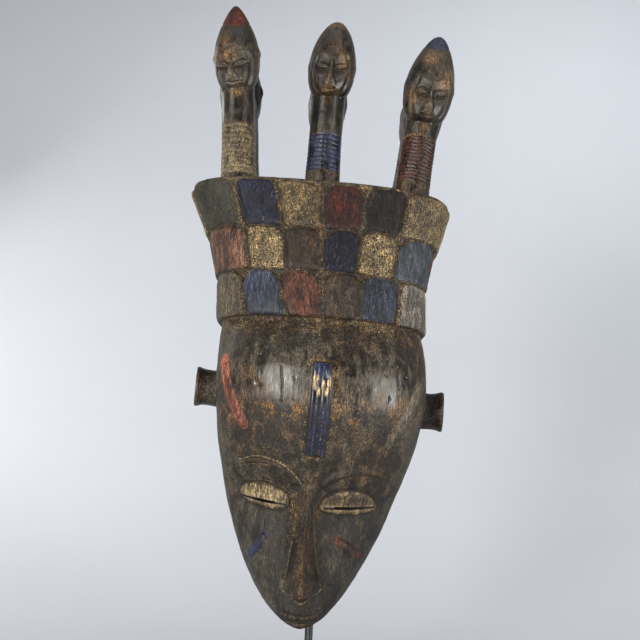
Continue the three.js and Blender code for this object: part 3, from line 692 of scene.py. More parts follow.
def nose_mesh():
    bottom = NOSE[0][0]
    top = NOSE[-1][0]

    def height(a, b):
        low = bottom + NOSE_LIFT * np.abs(a) ** 1.2
        return low + (top - low) * (b + 1) / 2

    def place(a, b):
        z = height(a, b)
        return a * along(NOSE, 1, z), z

    def rise(a, b):
        z = height(a, b)
        ridge = along(NOSE, 2, z) * np.power(1 - np.abs(a) ** 1.1, 1.1)
        wing = along(NOSE, 3, z) * np.sqrt(1 - np.abs(a) ** 6)
        return np.maximum(ridge, wing) - NOSE_SINK

    return face_slab(place, rise, 41, 90)


def stripe_half(up):
    return STRIPE_HALF + STRIPE_SWELL * np.sin(np.pi * (0.15 + 0.6 * up))


def stripe_mesh():
    def place(a, b):
        up = (b + 1) / 2
        return a * stripe_half(up) + STRIPE_MIDDLE, STRIPE_BOTTOM + (STRIPE_TOP - STRIPE_BOTTOM) * up

    def rise(a, b):
        return STRIPE_HEIGHT + RIB_HEIGHT * np.abs(np.sin((a + 1) * STRIPE_RIBS * QUARTER)) + 0 * b

    return face_slab(place, rise, 49, 60)


def face_meshes():
    meshes = [eye_mesh(eye) for eye in EYES]
    for brow in (BROW_LINE, mirrored(BROW_LINE)):
        meshes.append(band_mesh(brow, BROW_WIDTH, BROW_HEIGHT, 61))
    for line in TEMPLE_LINES:
        meshes.append(band_mesh(line, TEMPLE_WIDTH, MARK_HEIGHT, 61))
    for line in CHEEK_LINES:
        meshes.append(band_mesh(line, CHEEK_WIDTH, MARK_HEIGHT, 31))
    for lip in (UPPER_LIP, LOWER_LIP):
        meshes.append(band_mesh(lip, LIP_WIDTH, LIP_HEIGHT, 41))
    return meshes + [nose_mesh(), stripe_mesh()]


def ear_mesh(side):
    profile = spline(EAR_PROFILE, np.linspace(0, 1, 41))
    rim, end = EAR_PROFILE[-1]
    closing = np.array([[rim * s, end - EAR_DISH * (1 - s * s)] for s in np.linspace(0.9, 0.05, 10)])
    profile = np.concatenate([profile, closing])
    turn = np.linspace(0, 2 * np.pi, 64, endpoint=False)
    radius, length = profile[:, :1], profile[:, 1:]
    out = np.cos(EAR_TURN)
    slant = np.sin(EAR_TURN)
    y = radius * np.cos(turn)
    x = length * out + y * slant
    depth = y * out - length * slant
    height = EAR_HEIGHT + radius * np.sin(turn)
    return loft(leaned(np.stack([side * (EAR_REACH[side] + x), EAR_Y + depth, height], axis=-1)))


# Crests

def crest_place(crest, x, y, height):
    shift = crest["lean"] * height + crest["bend"] * height * height
    level = CREST_BASE + height - crest["lean"] * x
    return np.stack([crest["x"] + shift + x, y + 0 * x, level], axis=-1)


def neck_mesh(crest):
    chin = crest["chin"]
    keys = [[-CREST_SINK, 1.04], [1.5, 1.03], [42, 0.985],
            [chin - 2, 0.99], [chin + 12, 1.02], [chin + 30, 0.7]]
    heights = np.arange(-CREST_SINK, chin + 30, 1.0)
    scale = along(keys, 1, heights)
    angles = np.linspace(-2, 2, 61)
    x = []
    y = []
    for facing in (-1, 1):
        x.append(-facing * np.sin(angles) * NECK_RADIUS)
        y.append(facing * (NECK_SPREAD + np.cos(angles) * NECK_RADIUS))
        x.append(np.array([-facing * NECK_WAIST]))
        y.append(np.array([0.0]))
    x = np.concatenate(x)[None]
    y = np.concatenate(y)[None]
    centre = np.sign(y) * NECK_SPREAD
    h = heights[:, None]
    s = scale[:, None]
    return loft(crest_place(crest, x * s, centre + (y - centre) * s, h + 0 * x))


def head_form(crest, across, turn, s):
    """Features of a crest head as a rise of its skin: across runs over its face from the middle, in mm."""
    up = s / crest["brow"]
    tall = crest["brow"] * crest["head"]
    side = np.abs(across)
    nose = along(HEAD_NOSE, 1, up) * np.exp(-np.abs(across / along(HEAD_NOSE, 2, up)) ** 2.6)
    slant = HEAD_SLANT * (side - HEAD_EYE_SIDE)
    brow = 1.5 * bump((side - 8) / 6.5) * bump(((up - 0.97) * tall - slant) / 2.2)
    sockets = -2.6 * bump((side - HEAD_EYE_SIDE) / 5.6) * bump(((up - 0.68) * tall - slant) / 5.5)
    eye_level = (up - HEAD_EYE_UP) * tall - slant
    ball = 1 - np.square((side - HEAD_EYE_SIDE) / HEAD_EYE_HALF) - np.square(eye_level / 2.6)
    eye = 2.6 * np.sqrt(np.maximum(ball, 0))
    upper_lip = 1.7 * bump(across / crest["mouth"]) * bump((up - 0.125) * tall / 1.5)
    lower_lip = 1.4 * bump(across / crest["mouth"] / 0.85) * bump((up - 0.035) * tall / 1.5)
    front = np.clip(3 * np.cos(turn), 0, 1)
    ear = crest["ear"] * bump((np.abs(turn) - 1.5) / 0.12) * bump((s - 0.4) / 0.05) ** 0.6
    boss = crest["boss"] * bump((turn - 0.61) / 0.2) * bump((s - 0.52) / 0.07)
    return (nose + brow + sockets + eye + upper_lip + lower_lip) * front + ear + boss


def head_swell(crest, s):
    t = np.clip((s - HEAD_WIDEST) / (1 - HEAD_WIDEST), 0, 1)
    below = np.clip((HEAD_WIDEST - s) / HEAD_WIDEST, 0, 1)
    upper = np.sqrt(1 - t * t) * (1 - crest["point"] * t ** 1.5)
    lower = 0.3 + 0.7 * np.sqrt(1 - below ** 2.4)
    return np.where(s < HEAD_WIDEST, lower, upper)


def head_jut(s):
    """How far a head's middle stands out before its neck."""
    return CHIN_JUT * (1 - s) ** 2 + CROWN_JUT * s


def head_place(crest, facing):
    """How far a head hangs below the front one, its radius and its sideways shift."""
    if facing < 0:
        return 0, HEAD_RADIUS * crest["size"], 0
    rear = crest["rear"]
    return rear["drop"], HEAD_RADIUS * rear["size"], rear["shift"]


def head_mesh(crest, facing):
    drop, radius, shift = head_place(crest, facing)
    s = np.concatenate([np.linspace(0, 0.97, 240), [0.98, 0.985, 0.99, 0.994, 0.997]])[:, None]
    turn = np.linspace(-np.pi, np.pi, 240, endpoint=False)[None]
    fade = np.clip(np.minimum(25 * s, 4 - 4 * s), 0, 1)
    plain = radius * head_swell(crest, s)
    face_turn = turn - crest["face"]
    reach = plain + head_form(crest, plain * np.sin(face_turn), face_turn, s) * fade
    flat = np.where(np.cos(turn) > 0, 1 - 0.08 * np.cos(turn) ** 2, 0.92)
    x = shift - facing * np.sin(turn) * reach
    y = facing * (NECK_SPREAD + head_jut(s) + np.cos(turn) * reach * HEAD_DEPTH * flat)
    return loft(crest_place(crest, x, y, crest["chin"] - drop + crest["head"] * s))


def head_view(points, crest, facing):
    """Where points lie on a crest head: which are on its side, their height above the crown, turn and level,
    then across and up over its carved face, the turn from the face's middle, and 1 along the face's rim."""
    drop, radius, shift = head_place(crest, facing)
    height = points[:, 2] - CREST_BASE
    for _ in range(2):
        across = points[:, 0] - crest["x"] - crest["lean"] * height - crest["bend"] * height * height
        height = points[:, 2] - CREST_BASE + crest["lean"] * across
    s = (height - crest["chin"] + drop) / crest["head"]
    turn = np.arctan2(-facing * (across - shift), facing * points[:, 1] - NECK_SPREAD - head_jut(s))
    face_turn = turn - crest["face"]
    across = radius * head_swell(crest, np.clip(s, 0, 1)) * np.sin(face_turn)
    up = s / crest["brow"]
    rim = np.hypot(across / HEAD_RIM, (up - HEAD_RIM_MIDDLE) / HEAD_RIM_TALL)
    return points[:, 1] * facing > 0, height, turn, s, across, up, face_turn, rim


def crest_lines(points, crest):
    """How deep the fine lines of a crest are cut, in mm: neck rings, eyes, mouth, face rim, hair and cap."""
    cut = np.zeros(len(points))
    tall = crest["brow"] * crest["head"]
    low, high = crest["band"]
    for facing in (-1, 1):
        mine, height, turn, s, across, up, face_turn, rim = head_view(points, crest, facing)
        wavy = height + 0.45 * noise(points, 8, 1.3) + 0.5 * np.sin(2 * turn + low)
        phase = (wavy - low) / crest["pitch"]
        ring = RING_DEPTH * bump((phase - np.round(phase)) * crest["pitch"] / RING_HALF)
        ring *= smooth(wavy, low - 1, low) * smooth(-wavy, -high - 1, -high)
        front = smooth(np.cos(face_turn), 0.1, 0.4)
        side = np.abs(across)
        eye_level = (up - HEAD_EYE_UP) * tall - HEAD_SLANT * (side - HEAD_EYE_SIDE)
        slit = 0.8 * bump((eye_level + 0.3) / 0.5) * smooth(-np.abs(side - HEAD_EYE_SIDE), -5, -4.1)
        lid = np.hypot((side - HEAD_EYE_SIDE) / (HEAD_EYE_HALF + 0.7), eye_level / 3.2)
        lid = 0.8 * bump((lid - 1) * 3.2 / 0.6)
        lips = 0.8 * bump((up - 0.08 - 0.0016 * side * side) * tall / 0.5)
        lips = lips * smooth(-side, -crest["mouth"], 1 - crest["mouth"])
        groove = (1.3 - 0.7 * smooth(up, 0.75, 1)) * bump((rim - 1) * 12 / 0.9)
        hair = smooth(rim, 1.04, 1.12) * smooth(s, 0.12, 0.22) * smooth(-s, -0.95, -0.85)
        strands = 0.14 * (0.5 + 0.5 * np.sin(44 * turn + 5 * noise(points, 9, 4.9))) * hair
        edge = s - crest["cap"] + crest["cap_dip"] * np.cos(turn)
        cap = 0.8 * bump(edge * crest["head"] / 0.6)
        flutes = 0.5 * (0.5 + 0.5 * np.cos(crest["flutes"] * turn)) * smooth(edge, 0, 0.02)
        flutes = flutes * (crest["flutes"] > 0)
        strands *= smooth(-edge, 0, 0.02)
        head = np.where(front > 0, np.maximum.reduce([slit, lid, lips, groove]) * front, 0)
        cut += np.where(mine, ring + (head + strands + cap + flutes) * smooth(s, 0, 0.015), 0)
    return cut


# Hollow, slits and the rod's hole

def hollow_mesh():
    rings = []
    for z in np.linspace(HOLLOW_BOTTOM, HOLLOW_TOP, 60):
        near_top = math.sqrt(max(1 - (max(z - HOLLOW_SHOULDER, 0) / HOLLOW_ARCH) ** 2, 0))
        near_bottom = math.sqrt(min((z - HOLLOW_BOTTOM + 7) / 42, 1))
        half = along(STATIONS, HALF, z) - WALL_SIDE
        half = half * (0.55 + 0.45 * near_top) * (0.35 + 0.65 * near_bottom)
        front = along(STATIONS, FRONT, z) + WALL_FRONT
        wide = max(along(STATIONS, WIDE, z), front + 12)
        angle = np.linspace(-QUARTER, QUARTER, 61)
        rise = np.maximum(np.cos(angle), 0) ** 0.9 * (0.35 + 0.65 * near_top)
        x = np.concatenate([half * np.sin(angle), [half, -half]])
        y = np.concatenate([wide - (wide - front) * rise, [HOLLOW_REACH, HOLLOW_REACH]])
        rings.append(leaned(np.stack([x, y, np.full(len(x), z)], 1)))
    return loft(np.array(rings))


def bore_mesh():
    turn = np.linspace(0, 2 * np.pi, 32, endpoint=False)
    x = ROD_X + ROD_HOLE * np.cos(turn)
    y = ROD_Y + ROD_HOLE * np.sin(turn)
    levels = (HOLLOW_TOP - BORE_LAP, ROD_TOP)
    return loft(np.array([np.stack([x, y, np.full(len(turn), z)], 1) for z in levels]))


# Blender objects

def object_of(name, mesh):
    item = bpy.data.objects.new(name, mesh)
    bpy.context.scene.collection.objects.link(item)
    return item


def write_points(mesh, points):
    mesh.vertices.foreach_set("co", (points * MM).astype(np.float32).ravel())


def mesh_of(name, points, faces):
    """A mesh of triangles, from points in mm."""
    mesh = bpy.data.meshes.new(name)
    mesh.vertices.add(len(points))
    write_points(mesh, points)
    mesh.loops.add(len(faces) * 3)
    mesh.loops.foreach_set("vertex_index", faces.astype(np.int32).ravel())
    mesh.polygons.add(len(faces))
    mesh.polygons.foreach_set("loop_start", np.arange(0, len(faces) * 3, 3, dtype=np.int32))
    mesh.update(calc_edges=True)
    mesh.validate()
    return mesh


def applied(item):
    """The item's mesh with its modifiers applied, and no modifier left."""
    graph = bpy.context.evaluated_depsgraph_get()
    mesh = bpy.data.meshes.new_from_object(item.evaluated_get(graph))
    item.modifiers.clear()
    old = item.data
    item.data = mesh
    bpy.data.meshes.remove(old)
    return mesh


def read(items, key, width, kind=np.float32):
    """One field of a mesh's items, a row for each item."""
    flat = np.empty(len(items) * width, kind)
    items.foreach_get(key, flat)
    return flat.reshape(-1, width)


def points_of(mesh):
    return read(mesh.vertices, "co", 3).astype(float) / MM


def normals_of(mesh):
    return read(mesh.vertex_normals, "vector", 3).astype(float)


def shaded_smooth(mesh):
    mesh.polygons.foreach_set("use_smooth", np.ones(len(mesh.polygons), bool))


def with_material(item, material):
    item.data.materials.clear()
    item.data.materials.append(material)


def cavity_of(mesh, points, normals, rounds):
    """How far the smoothed surface lies outside each point, in mm: positive in grooves."""
    edges = read(mesh.edges, "vertices", 2, np.int32)
    near, far = edges.T
    count = np.maximum(np.bincount(edges.ravel(), minlength=len(points)).astype(float), 1)
    soft = points.copy()
    for _ in range(rounds):
        total = [np.bincount(near, column[far], len(soft)) + np.bincount(far, column[near], len(soft))
                 for column in soft.T]
        soft = 0.5 * soft + 0.5 * np.column_stack(total) / count[:, None]
    return np.einsum("ij,ij->i", soft - points, normals)


def line_distance(x, z, line, width=0.0):
    """Distance from face points to a line, less half its width."""
    curve = spline(line, np.linspace(0, 1, LINE_SAMPLES))
    best = np.full(x.shape, np.inf)
    for a, b in zip(curve[:-1], curve[1:]):
        run = b - a
        t = np.clip(((x - a[0]) * run[0] + (z - a[1]) * run[1]) / (run @ run), 0, 1)
        best = np.minimum(best, np.hypot(x - a[0] - t * run[0], z - a[1] - t * run[1]))
    return best - width / 2


def lid_inside(eye, x, z):
    """How far face points lie inside a lid's outline."""
    share = eye_share(eye, x)
    a = 2 * share - 1
    level = eye_line(eye, share)[1]
    opening = eye_opening(np.clip(a, -1, 1)) * np.where(z > level, eye["up"], eye["down"])
    return np.minimum(opening - np.abs(z - level), (1 - np.abs(a)) * LID_ROOT)


def stripe_inside(x, z):
    up = np.clip((z - STRIPE_BOTTOM) / (STRIPE_TOP - STRIPE_BOTTOM), 0, 1)
    side = stripe_half(up) - np.abs(x - STRIPE_MIDDLE)
    return np.minimum(side, np.minimum(z - STRIPE_BOTTOM, STRIPE_TOP - z))


def hand_cut(points, inner, fine):
    """Unevenness of hand-cut wood, its grain and nicks, and the rough gouge marks of the inner walls."""
    shift = 0.35 * noise(points, 24) + 0.22 * noise(points, 9, 3.7)
    grain = 0.09 * noise(points, (1.8, 1.8, 16), 2.2) + 0.08 * noise(points, (3.2, 3.2, 30), 8.2)
    nicks = -0.45 * smooth(noise(points, (3.4, 3.4, 5), 4.4), 0.62, 0.9)
    gouges = 1.5 * np.abs(noise(points, (13, 13, 40), 6.1)) - 0.4 + 0.3 * noise(points, (5, 5, 12), 1.9)
    return (shift + grain + nicks) * (1 - inner) * fine + gouges * inner


def face_lines(points, flat):
    """How deep the lines of the face are cut, in mm."""
    x, z = flat[:, 0], flat[:, 2]
    cut = np.zeros(len(flat))
    for line in FACE_LINES + CRACKS:
        away = line_distance(x, z, line["line"])
        cut = np.maximum(cut, line["deep"] * bump(away / line["half"]))
    for eye in EYES:
        cut = np.maximum(cut, 0.6 * bump((lid_inside(eye, x, z) + 0.3) / 0.8))
    cut = np.maximum(cut, 0.5 * bump((stripe_inside(x, z) + 0.4) / 0.7))
    return cut * smooth(-points[:, 1], 8, 18)


def moved(item, distance):
    """Moves each vertex along its normal."""
    mesh = item.data
    write_points(mesh, points_of(mesh) + normals_of(mesh) * distance[:, None])
    mesh.update()


def add_remesh(item, voxel):
    remesh = item.modifiers.new("remesh", "REMESH")
    remesh.mode = "VOXEL"
    remesh.voxel_size = voxel * MM


def fused(name, parts, voxel, cuts=()):
    """One closed, evenly fine mesh from overlapping parts, less the cuts."""
    item = object_of(name, mesh_of(name, *together(parts)))
    add_remesh(item, voxel)
    soften = item.modifiers.new("soften", "SMOOTH")
    soften.factor = 0.5
    soften.iterations = 2
    applied(item)
    if not cuts:
        return item
    cutters = []
    for number, cut in enumerate(cuts):
        cutter = object_of(f"cutter_{number}", mesh_of(f"cutter_{number}", *cut))
        cutting = item.modifiers.new("cut", "BOOLEAN")
        cutting.operation = "DIFFERENCE"
        cutting.solver = "MANIFOLD"
        cutting.object = cutter
        cutters.append(cutter)
    applied(item)
    for cutter in cutters:
        bpy.data.objects.remove(cutter)
    add_remesh(item, voxel)
    applied(item)
    return item


def thinned(item, triangles):
    item.data.calc_loop_triangles()
    thin = item.modifiers.new("thin", "DECIMATE")
    thin.ratio = min(1, triangles / len(item.data.loop_triangles))
    thin.use_collapse_triangulate = True
    shaded_smooth(applied(item))
    return item


def carved_face():
    parts = [face_body_mesh(), ear_mesh(1), ear_mesh(-1)] + face_meshes()
    cuts = [hollow_mesh()] + [slit_mesh(eye) for eye in EYES]
    item = fused("carved_face", parts, FACE_VOXEL, cuts)
    points = points_of(item.data)
    flat = straightened(points)
    moved(item, hand_cut(points, inner_share(points, flat), 1) - face_lines(points, flat))
    return thinned(item, FACE_TRIANGLES)


def carved_headdress():
    item = fused("carved_headdress", [headdress_mesh()], FACE_VOXEL, [hollow_mesh(), bore_mesh()])
    points = points_of(item.data)
    moved(item, hand_cut(points, inner_share(points, straightened(points)), 1))
    return thinned(item, FACE_TRIANGLES)


def carved_crest(crest):
    parts = [neck_mesh(crest), head_mesh(crest, -1), head_mesh(crest, 1)]
    item = fused(crest["name"], parts, CREST_VOXEL)
    points = points_of(item.data)
    moved(item, hand_cut(points, 0, 0.5) - crest_lines(points, crest))
    return thinned(item, CREST_TRIANGLES)


# Paint, wear, painted shade and painted highlights, as masks on the vertices

def srgb(red, green, blue):
    """A colour given as in a picture, turned to linear values."""
    channels = []
    for value in (red, green, blue):
        c = value / 255
        channels.append(c / 12.92 if c <= 0.04045 else ((c + 0.055) / 1.055) ** 2.4)
    return tuple(channels)


DEEP_BLUE = srgb(18, 24, 48)
PALE_BLUE = srgb(59, 69, 89)
SLATE_BLUE = srgb(70, 76, 86)
NIGHT_BLUE = srgb(1, 2, 40)
BRICK = srgb(96, 38, 28)
DUSTY_RED = srgb(90, 53, 39)
CREAM = srgb(113, 98, 69)
BROWN = srgb(64, 52, 42)
GREY_BROWN = srgb(88, 79, 63)
BLACK_BROWN = srgb(14, 8, 5)
GREEN_GREY = srgb(47, 48, 37)
GREY_CREAM = srgb(111, 106, 96)
LID_TAN = srgb(134, 118, 88)
LID_EDGE = srgb(72, 58, 40)
TEMPLE_RED = srgb(146, 82, 62)
TEMPLE_CREAM = srgb(88, 80, 63)
CHEEK_BLUE = srgb(31, 40, 70)
CHEEK_RED = srgb(76, 40, 28)
STRIPE_BLUE = srgb(26, 37, 66)
FLANK_BROWN = srgb(74, 54, 40)

# Colour and finish of each pad, from the bottom row up and from -X to +X round the front;
# the finish runs from 0, plain paint, to 1, a net of pale specks
PAD_PAINT = [
    [(BROWN, 0), (BROWN, 0), (GREY_BROWN, 0.25), (PALE_BLUE, 0), (DUSTY_RED, 0),
     (BROWN, 0.2), (srgb(44, 50, 65), 0), (GREY_CREAM, 0.35), (GREY_CREAM, 0.3), (BROWN, 0)],
    [(BRICK, 0), (DEEP_BLUE, 0), (srgb(108, 76, 60), 0), (CREAM, 1), (srgb(53, 40, 26), 0.2),
     (srgb(2, 7, 31), 0), (CREAM, 1), (SLATE_BLUE, 0), (DUSTY_RED, 0), (DEEP_BLUE, 0)],
    # The top row's colours are set darker partly as painted shade, for the dimmer light up there
    [(GREEN_GREY, 0), (CREAM, 0.8), (GREEN_GREY, 0.35), (DEEP_BLUE, 0), (srgb(86, 73, 49), 1),
     (srgb(59, 17, 8), 0), (BLACK_BROWN, 0.1), (srgb(95, 83, 61), 1), (CREAM, 0.7), (GREEN_GREY, 0)],
]

# Paint and rubbed patches of the crests: a collar is its turn and half height, and patches are turn,
# level, half width, half height, strength
CREST_LOOKS = [
    {"cap": srgb(82, 28, 14), "band": srgb(102, 91, 66), "finish": 0.7, "cover": 0.85,
     "collar": [-0.15, 3.5],
     "patches": [[-0.3, 0.3, 0.3, 0.08, 1], [-0.95, 0.36, 0.45, 0.08, 0.9], [-0.5, 0.46, 0.3, 0.08, 0.6],
                 [0.1, 0.74, 0.9, 0.05, 0.5]]},
    {"cap": None, "band": srgb(28, 41, 76), "finish": 0, "cover": 0.95, "collar": [-0.25, 3],
     "patches": [[0.63, 0.38, 0.34, 0.12, 0.9], [0.0, 0.05, 0.5, 0.05, 0.8], [-0.1, 0.56, 0.14, 0.06, 0.6],
                 [0.2, 0.9, 0.9, 0.06, 0.45]]},
    {"cap": srgb(36, 43, 66), "band": srgb(64, 34, 23), "finish": 0, "cover": 0.85, "collar": [0.2, 3],
     "patches": [[-0.25, 0.64, 0.3, 0.07, 1], [0.59, 0.37, 0.26, 0.08, 1], [-0.75, 0.2, 0.34, 0.09, 0.6],
                 [0.9, 0.5, 0.3, 0.09, 0.6]]},
]


class Coat:
    """What the wood's material reads at each vertex of a piece."""

    def __init__(self, item, rounds):
        self.mesh = item.data
        self.points = points_of(self.mesh)
        self.normals = normals_of(self.mesh)
        self.cavity = cavity_of(self.mesh, self.points, self.normals, rounds)
        self.colour = np.zeros((len(self.points), 3))
        starts = {"inside": -INSIDE_SPAN / 2, "line": LINE_SPAN, "crack": LINE_SPAN, "cover": 1,
                  "gloss": 0.2, "inner": 0, "finish": 0, "dust": 0, "belt": 0, "stain": 0, "soot": 0,
                  "worn": 0, "calm": 0}
        for name, start in starts.items():
            setattr(self, name, np.full(len(self.points), float(start)))

    def patch(self, inside, colour, finish=0.0, cover=1.0):
        """Lays a painted patch where it lies nearer than what is there."""
        nearer = inside > self.inside
        self.inside = np.where(nearer, inside, self.inside)
        self.colour[nearer] = np.broadcast_to(colour, self.colour.shape)[nearer]
        self.finish = np.where(nearer, finish, self.finish)
        self.cover = np.where(nearer, cover, self.cover)

    def lift(self, name, value, where=True):
        """Raises a mask to a value where it is lower."""
        mask = getattr(self, name)
        setattr(self, name, np.where(where, np.maximum(mask, value), mask))

    def lower(self, name, value, where):
        """Lowers a mask to a value where it is higher."""
        mask = getattr(self, name)
        setattr(self, name, np.where(where, np.minimum(mask, value), mask))

    def write(self):
        layers = {
            "paint": [*self.colour.T, self.cover],
            "masks": [self.inside / INSIDE_SPAN + 0.5, self.line / LINE_SPAN, self.dust, self.belt],
            "forms": [self.cavity / CAVITY_SPAN + 0.5, self.inner, self.crack / LINE_SPAN, self.finish],
            "tints": [self.stain, self.soot, self.gloss, self.worn],
        }
        for name, channels in layers.items():
            values = np.clip(np.column_stack(channels), 0, 1)
            layer = self.mesh.attributes.new(name, "FLOAT_COLOR", "POINT")
            layer.data.foreach_set("color", values.astype(np.float32).ravel())
        layer = self.mesh.attributes.new("calm", "FLOAT", "POINT")
        layer.data.foreach_set("value", np.clip(self.calm, 0, 1).astype(np.float32))


def paint_marks(coat, flat, face_only):
    """The stripe, the temple bands, the cheek marks and the paint rubbed into the nose's flank."""
    x, z = flat[:, 0], flat[:, 2]
    level = z + 2.5 * noise(flat, (2.2, 9, 9), 1.1)
    deep = bump((level - 230) / 5)[:, None]
    blue = np.array(STRIPE_BLUE) * (1 - deep) + np.array(NIGHT_BLUE) * deep
    coat.patch(stripe_inside(x, z) + face_only, blue, 0, 1.1)
    for across, height, wide, tall in STRIPE_WORN:
        blob = spot(x - STRIPE_MIDDLE, z, across, height, wide, tall)
        coat.lift("worn", smooth(blob + 0.35 * noise(flat, 1.6), 0.3, 0.6), face_only == 0)
    for line, look in zip(TEMPLE_LINES, ((TEMPLE_RED, 0.1, 0.8), (TEMPLE_CREAM, 0.3, 0.6))):
        coat.patch(face_only - line_distance(x, z, line, TEMPLE_WIDTH), *look)
    for line, colour in zip(CHEEK_LINES, (CHEEK_BLUE, CHEEK_RED)):
        cover = 0.5 + 0.5 * noise(flat, 4, 6.6)
        coat.patch(face_only - line_distance(x, z, line, CHEEK_WIDTH) - 0.3, colour, 0.1, cover)
    flank = 3 - line_distance(x, z, NOSE_FLANK) + 1.6 * noise(flat, (2.5, 2.5, 9), 5.5)
    flank = np.where(flank > 0, np.minimum(flank, 1.2), -8)
    coat.patch(flank + face_only, FLANK_BROWN, 0, 0.28)


def paint_eye(coat, flat, face_only, eye, hollow):
    """A lid, rubbed thin at its edge, and in its hollow by the given share, with painted shade round its
    groove and at the dark slit.
    """
    x, z = flat[:, 0], flat[:, 2]
    lid = lid_inside(eye, x, z)
    high = (z - eye_line(eye, eye_share(eye, x))[1]) / eye["up"]
    faded = hollow * smooth(lid + 0.9 * noise(flat, 2.6, 3.3), 1.6, 3.4) * smooth(high, 0, 0.25)
    cover = 0.9 + 0.45 * noise(flat, (6, 6, 3.5), 2.9) - 0.3 * bump(lid / 1.6) - 0.5 * faded
    tan = (smooth(lid + 1.8 * noise(flat, 3, 8.8), 0.2, 3) * (1 - faded))[:, None]
    tan = np.array(LID_EDGE) * (1 - tan) + np.array(LID_TAN) * tan
    coat.patch(lid - 0.4 + face_only, tan, 0.3, cover)
    # The slit's edge is painted near black, and darker bands are laid round it and round the lid's groove:
    # painted shade
    slit = line_distance(x, z, eye["slit"]) - eye["half"]
    coat.lower("crack", slit + 0.35, face_only == 0)
    coat.lift("soot", 0.5 * bump((lid + 0.7) / 1.1))
    coat.lift("soot", 0.7 * bump(slit / 1.5))


def paint_face(item):
    coat = Coat(item, FACE_CAVITY_ROUNDS)
    flat = straightened(coat.points)
    x, z = flat[:, 0], flat[:, 2]
    side = np.abs(x)
    coat.inner = inner_share(coat.points, flat)
    outer = 1 - coat.inner
    on_front = (coat.points[:, 1] < FACE_BACK) & (coat.inner < 0.5)
    face_only = np.where(on_front, 0, ELSEWHERE)
    paint_marks(coat, flat, face_only)
    for eye, hollow in zip(EYES, (0.25, 0.85)):
        paint_eye(coat, flat, face_only, eye, hollow)
    for line in FACE_LINES:
        if line["pale"]:
            coat.lower("line", line_distance(x, z, line["line"]) + 0.9 * (1 - line["pale"]), on_front)
    for line in CRACKS:
        coat.lower("crack", line_distance(x, z, line["line"]) + 0.3, on_front)
    # Pale lines down the stripe's ribs: dust in them, and partly a painted highlight along the ribs
    stripe = stripe_inside(x, z)
    rib_glint_lines = np.minimum(np.abs(x - STRIPE_MIDDLE + 2.6), np.abs(x - STRIPE_MIDDLE - 2.4)) + 0.5
    coat.lower("line", rib_glint_lines, on_front & (stripe > 0.3))

    above_brow = 0.45 * spot(x, z, -38, 193, 17, 5)
    corner = 0.5 * bump(line_distance(x, z, INNER_CORNER) / 6.5)
    beside_nose = 0.35 * spot(x, z, -9, 132, 3.4, 20)
    under_seam = 0.45 * smooth(z, 258, 284)
    around_stripe = 0.35 * bump((stripe + 2) / 2.5)
    dusty = [above_brow, corner, beside_nose, under_seam, around_stripe, np.full(len(x), 0.1)]
    ears = (side > 81) & (z > 212) & (z < 262)
    coat.dust = (np.maximum.reduce(dusty) + 0.3 * ears) * outer
    coat.belt = bump((z - 222.5 - 0.1 * x) / 7.5) * smooth(side, 8, 14) * smooth(-side, -76, -64) * outer
    for stain in FACE_STAINS:
        away = line_distance(x, z, stain["line"])
        coat.lift("stain", stain["strength"] * bump(away / stain["half"]) * outer)
    # A black mark down the nose's ridge, darker at the mouth, painted shade over the lower face that is
    # lighter on the -X side, and darker ears, the +X one more
    ridge = 0.9 * bump((x + 0.8) / 1.8) * smooth(z, 108, 118) * smooth(-z, -166, -150)
    mouth = 0.7 * spot(x, z, 0, 87, 14, 4)
    low = (0.7 - 0.35 * smooth(-x, 5, 20)) * smooth(-z, -190, -140)
    coat.soot = np.maximum.reduce([coat.soot, ridge, mouth, low, np.where(x < 0, 0.7, 0.95) * ears]) * outer
    cheek = 0.45 * spot(x, z, -30, 130, 12, 20)
    forehead = smooth(z, 218, 234) * smooth(-z, -280, -250) * smooth(-side, -76, -56)
    coat.gloss = np.maximum.reduce([forehead, 0.25 * smooth(z, 190, 215), 0.7 * ears, cheek]) * outer
    cheeks = 0.9 * smooth(-z, -178, -158) * smooth(side, 6, 14)
    lower_face = 0.45 * smooth(-z, -218, -196)
    coat.calm = np.maximum.reduce([cheeks, 0.72 * forehead, lower_face, 0.5 * ears]) * outer
    coat.calm *= 1 - np.minimum(1, 1.6 * np.maximum(corner, above_brow))
    coat.write()


def paint_headdress(item):
    coat = Coat(item, FACE_CAVITY_ROUNDS)
    flat = straightened(coat.points)
    z = flat[:, 2]
    coat.inner = inner_share(coat.points, flat)
    outside = coat.inner < 0.5
    inside, row, column, _ = pad_field(arc_at(flat), z)
    on_top = smooth(coat.normals[:, 2], 0.6, 0.85) * smooth(z, 386, 389)
    coat.inside = inside - PAINT_INSET - 9 * on_top + np.where(outside, 0, ELSEWHERE)
    coat.colour = np.array([[pad[0] for pad in pads] for pads in PAD_PAINT])[row, column]
    coat.finish = np.array([[pad[1] for pad in pads] for pads in PAD_PAINT])[row, column]
    in_seams = 0.35 * smooth(-coat.inside, -1, 0.4) * (1 - 0.5 * on_top)
    coat.dust = np.where(outside, 0.1 + in_seams, 0)
    # A dark line in the seams between the pads: painted shade
    coat.soot = 0.9 * bump((coat.inside + 0.4) / 0.45) * outside
    coat.write()


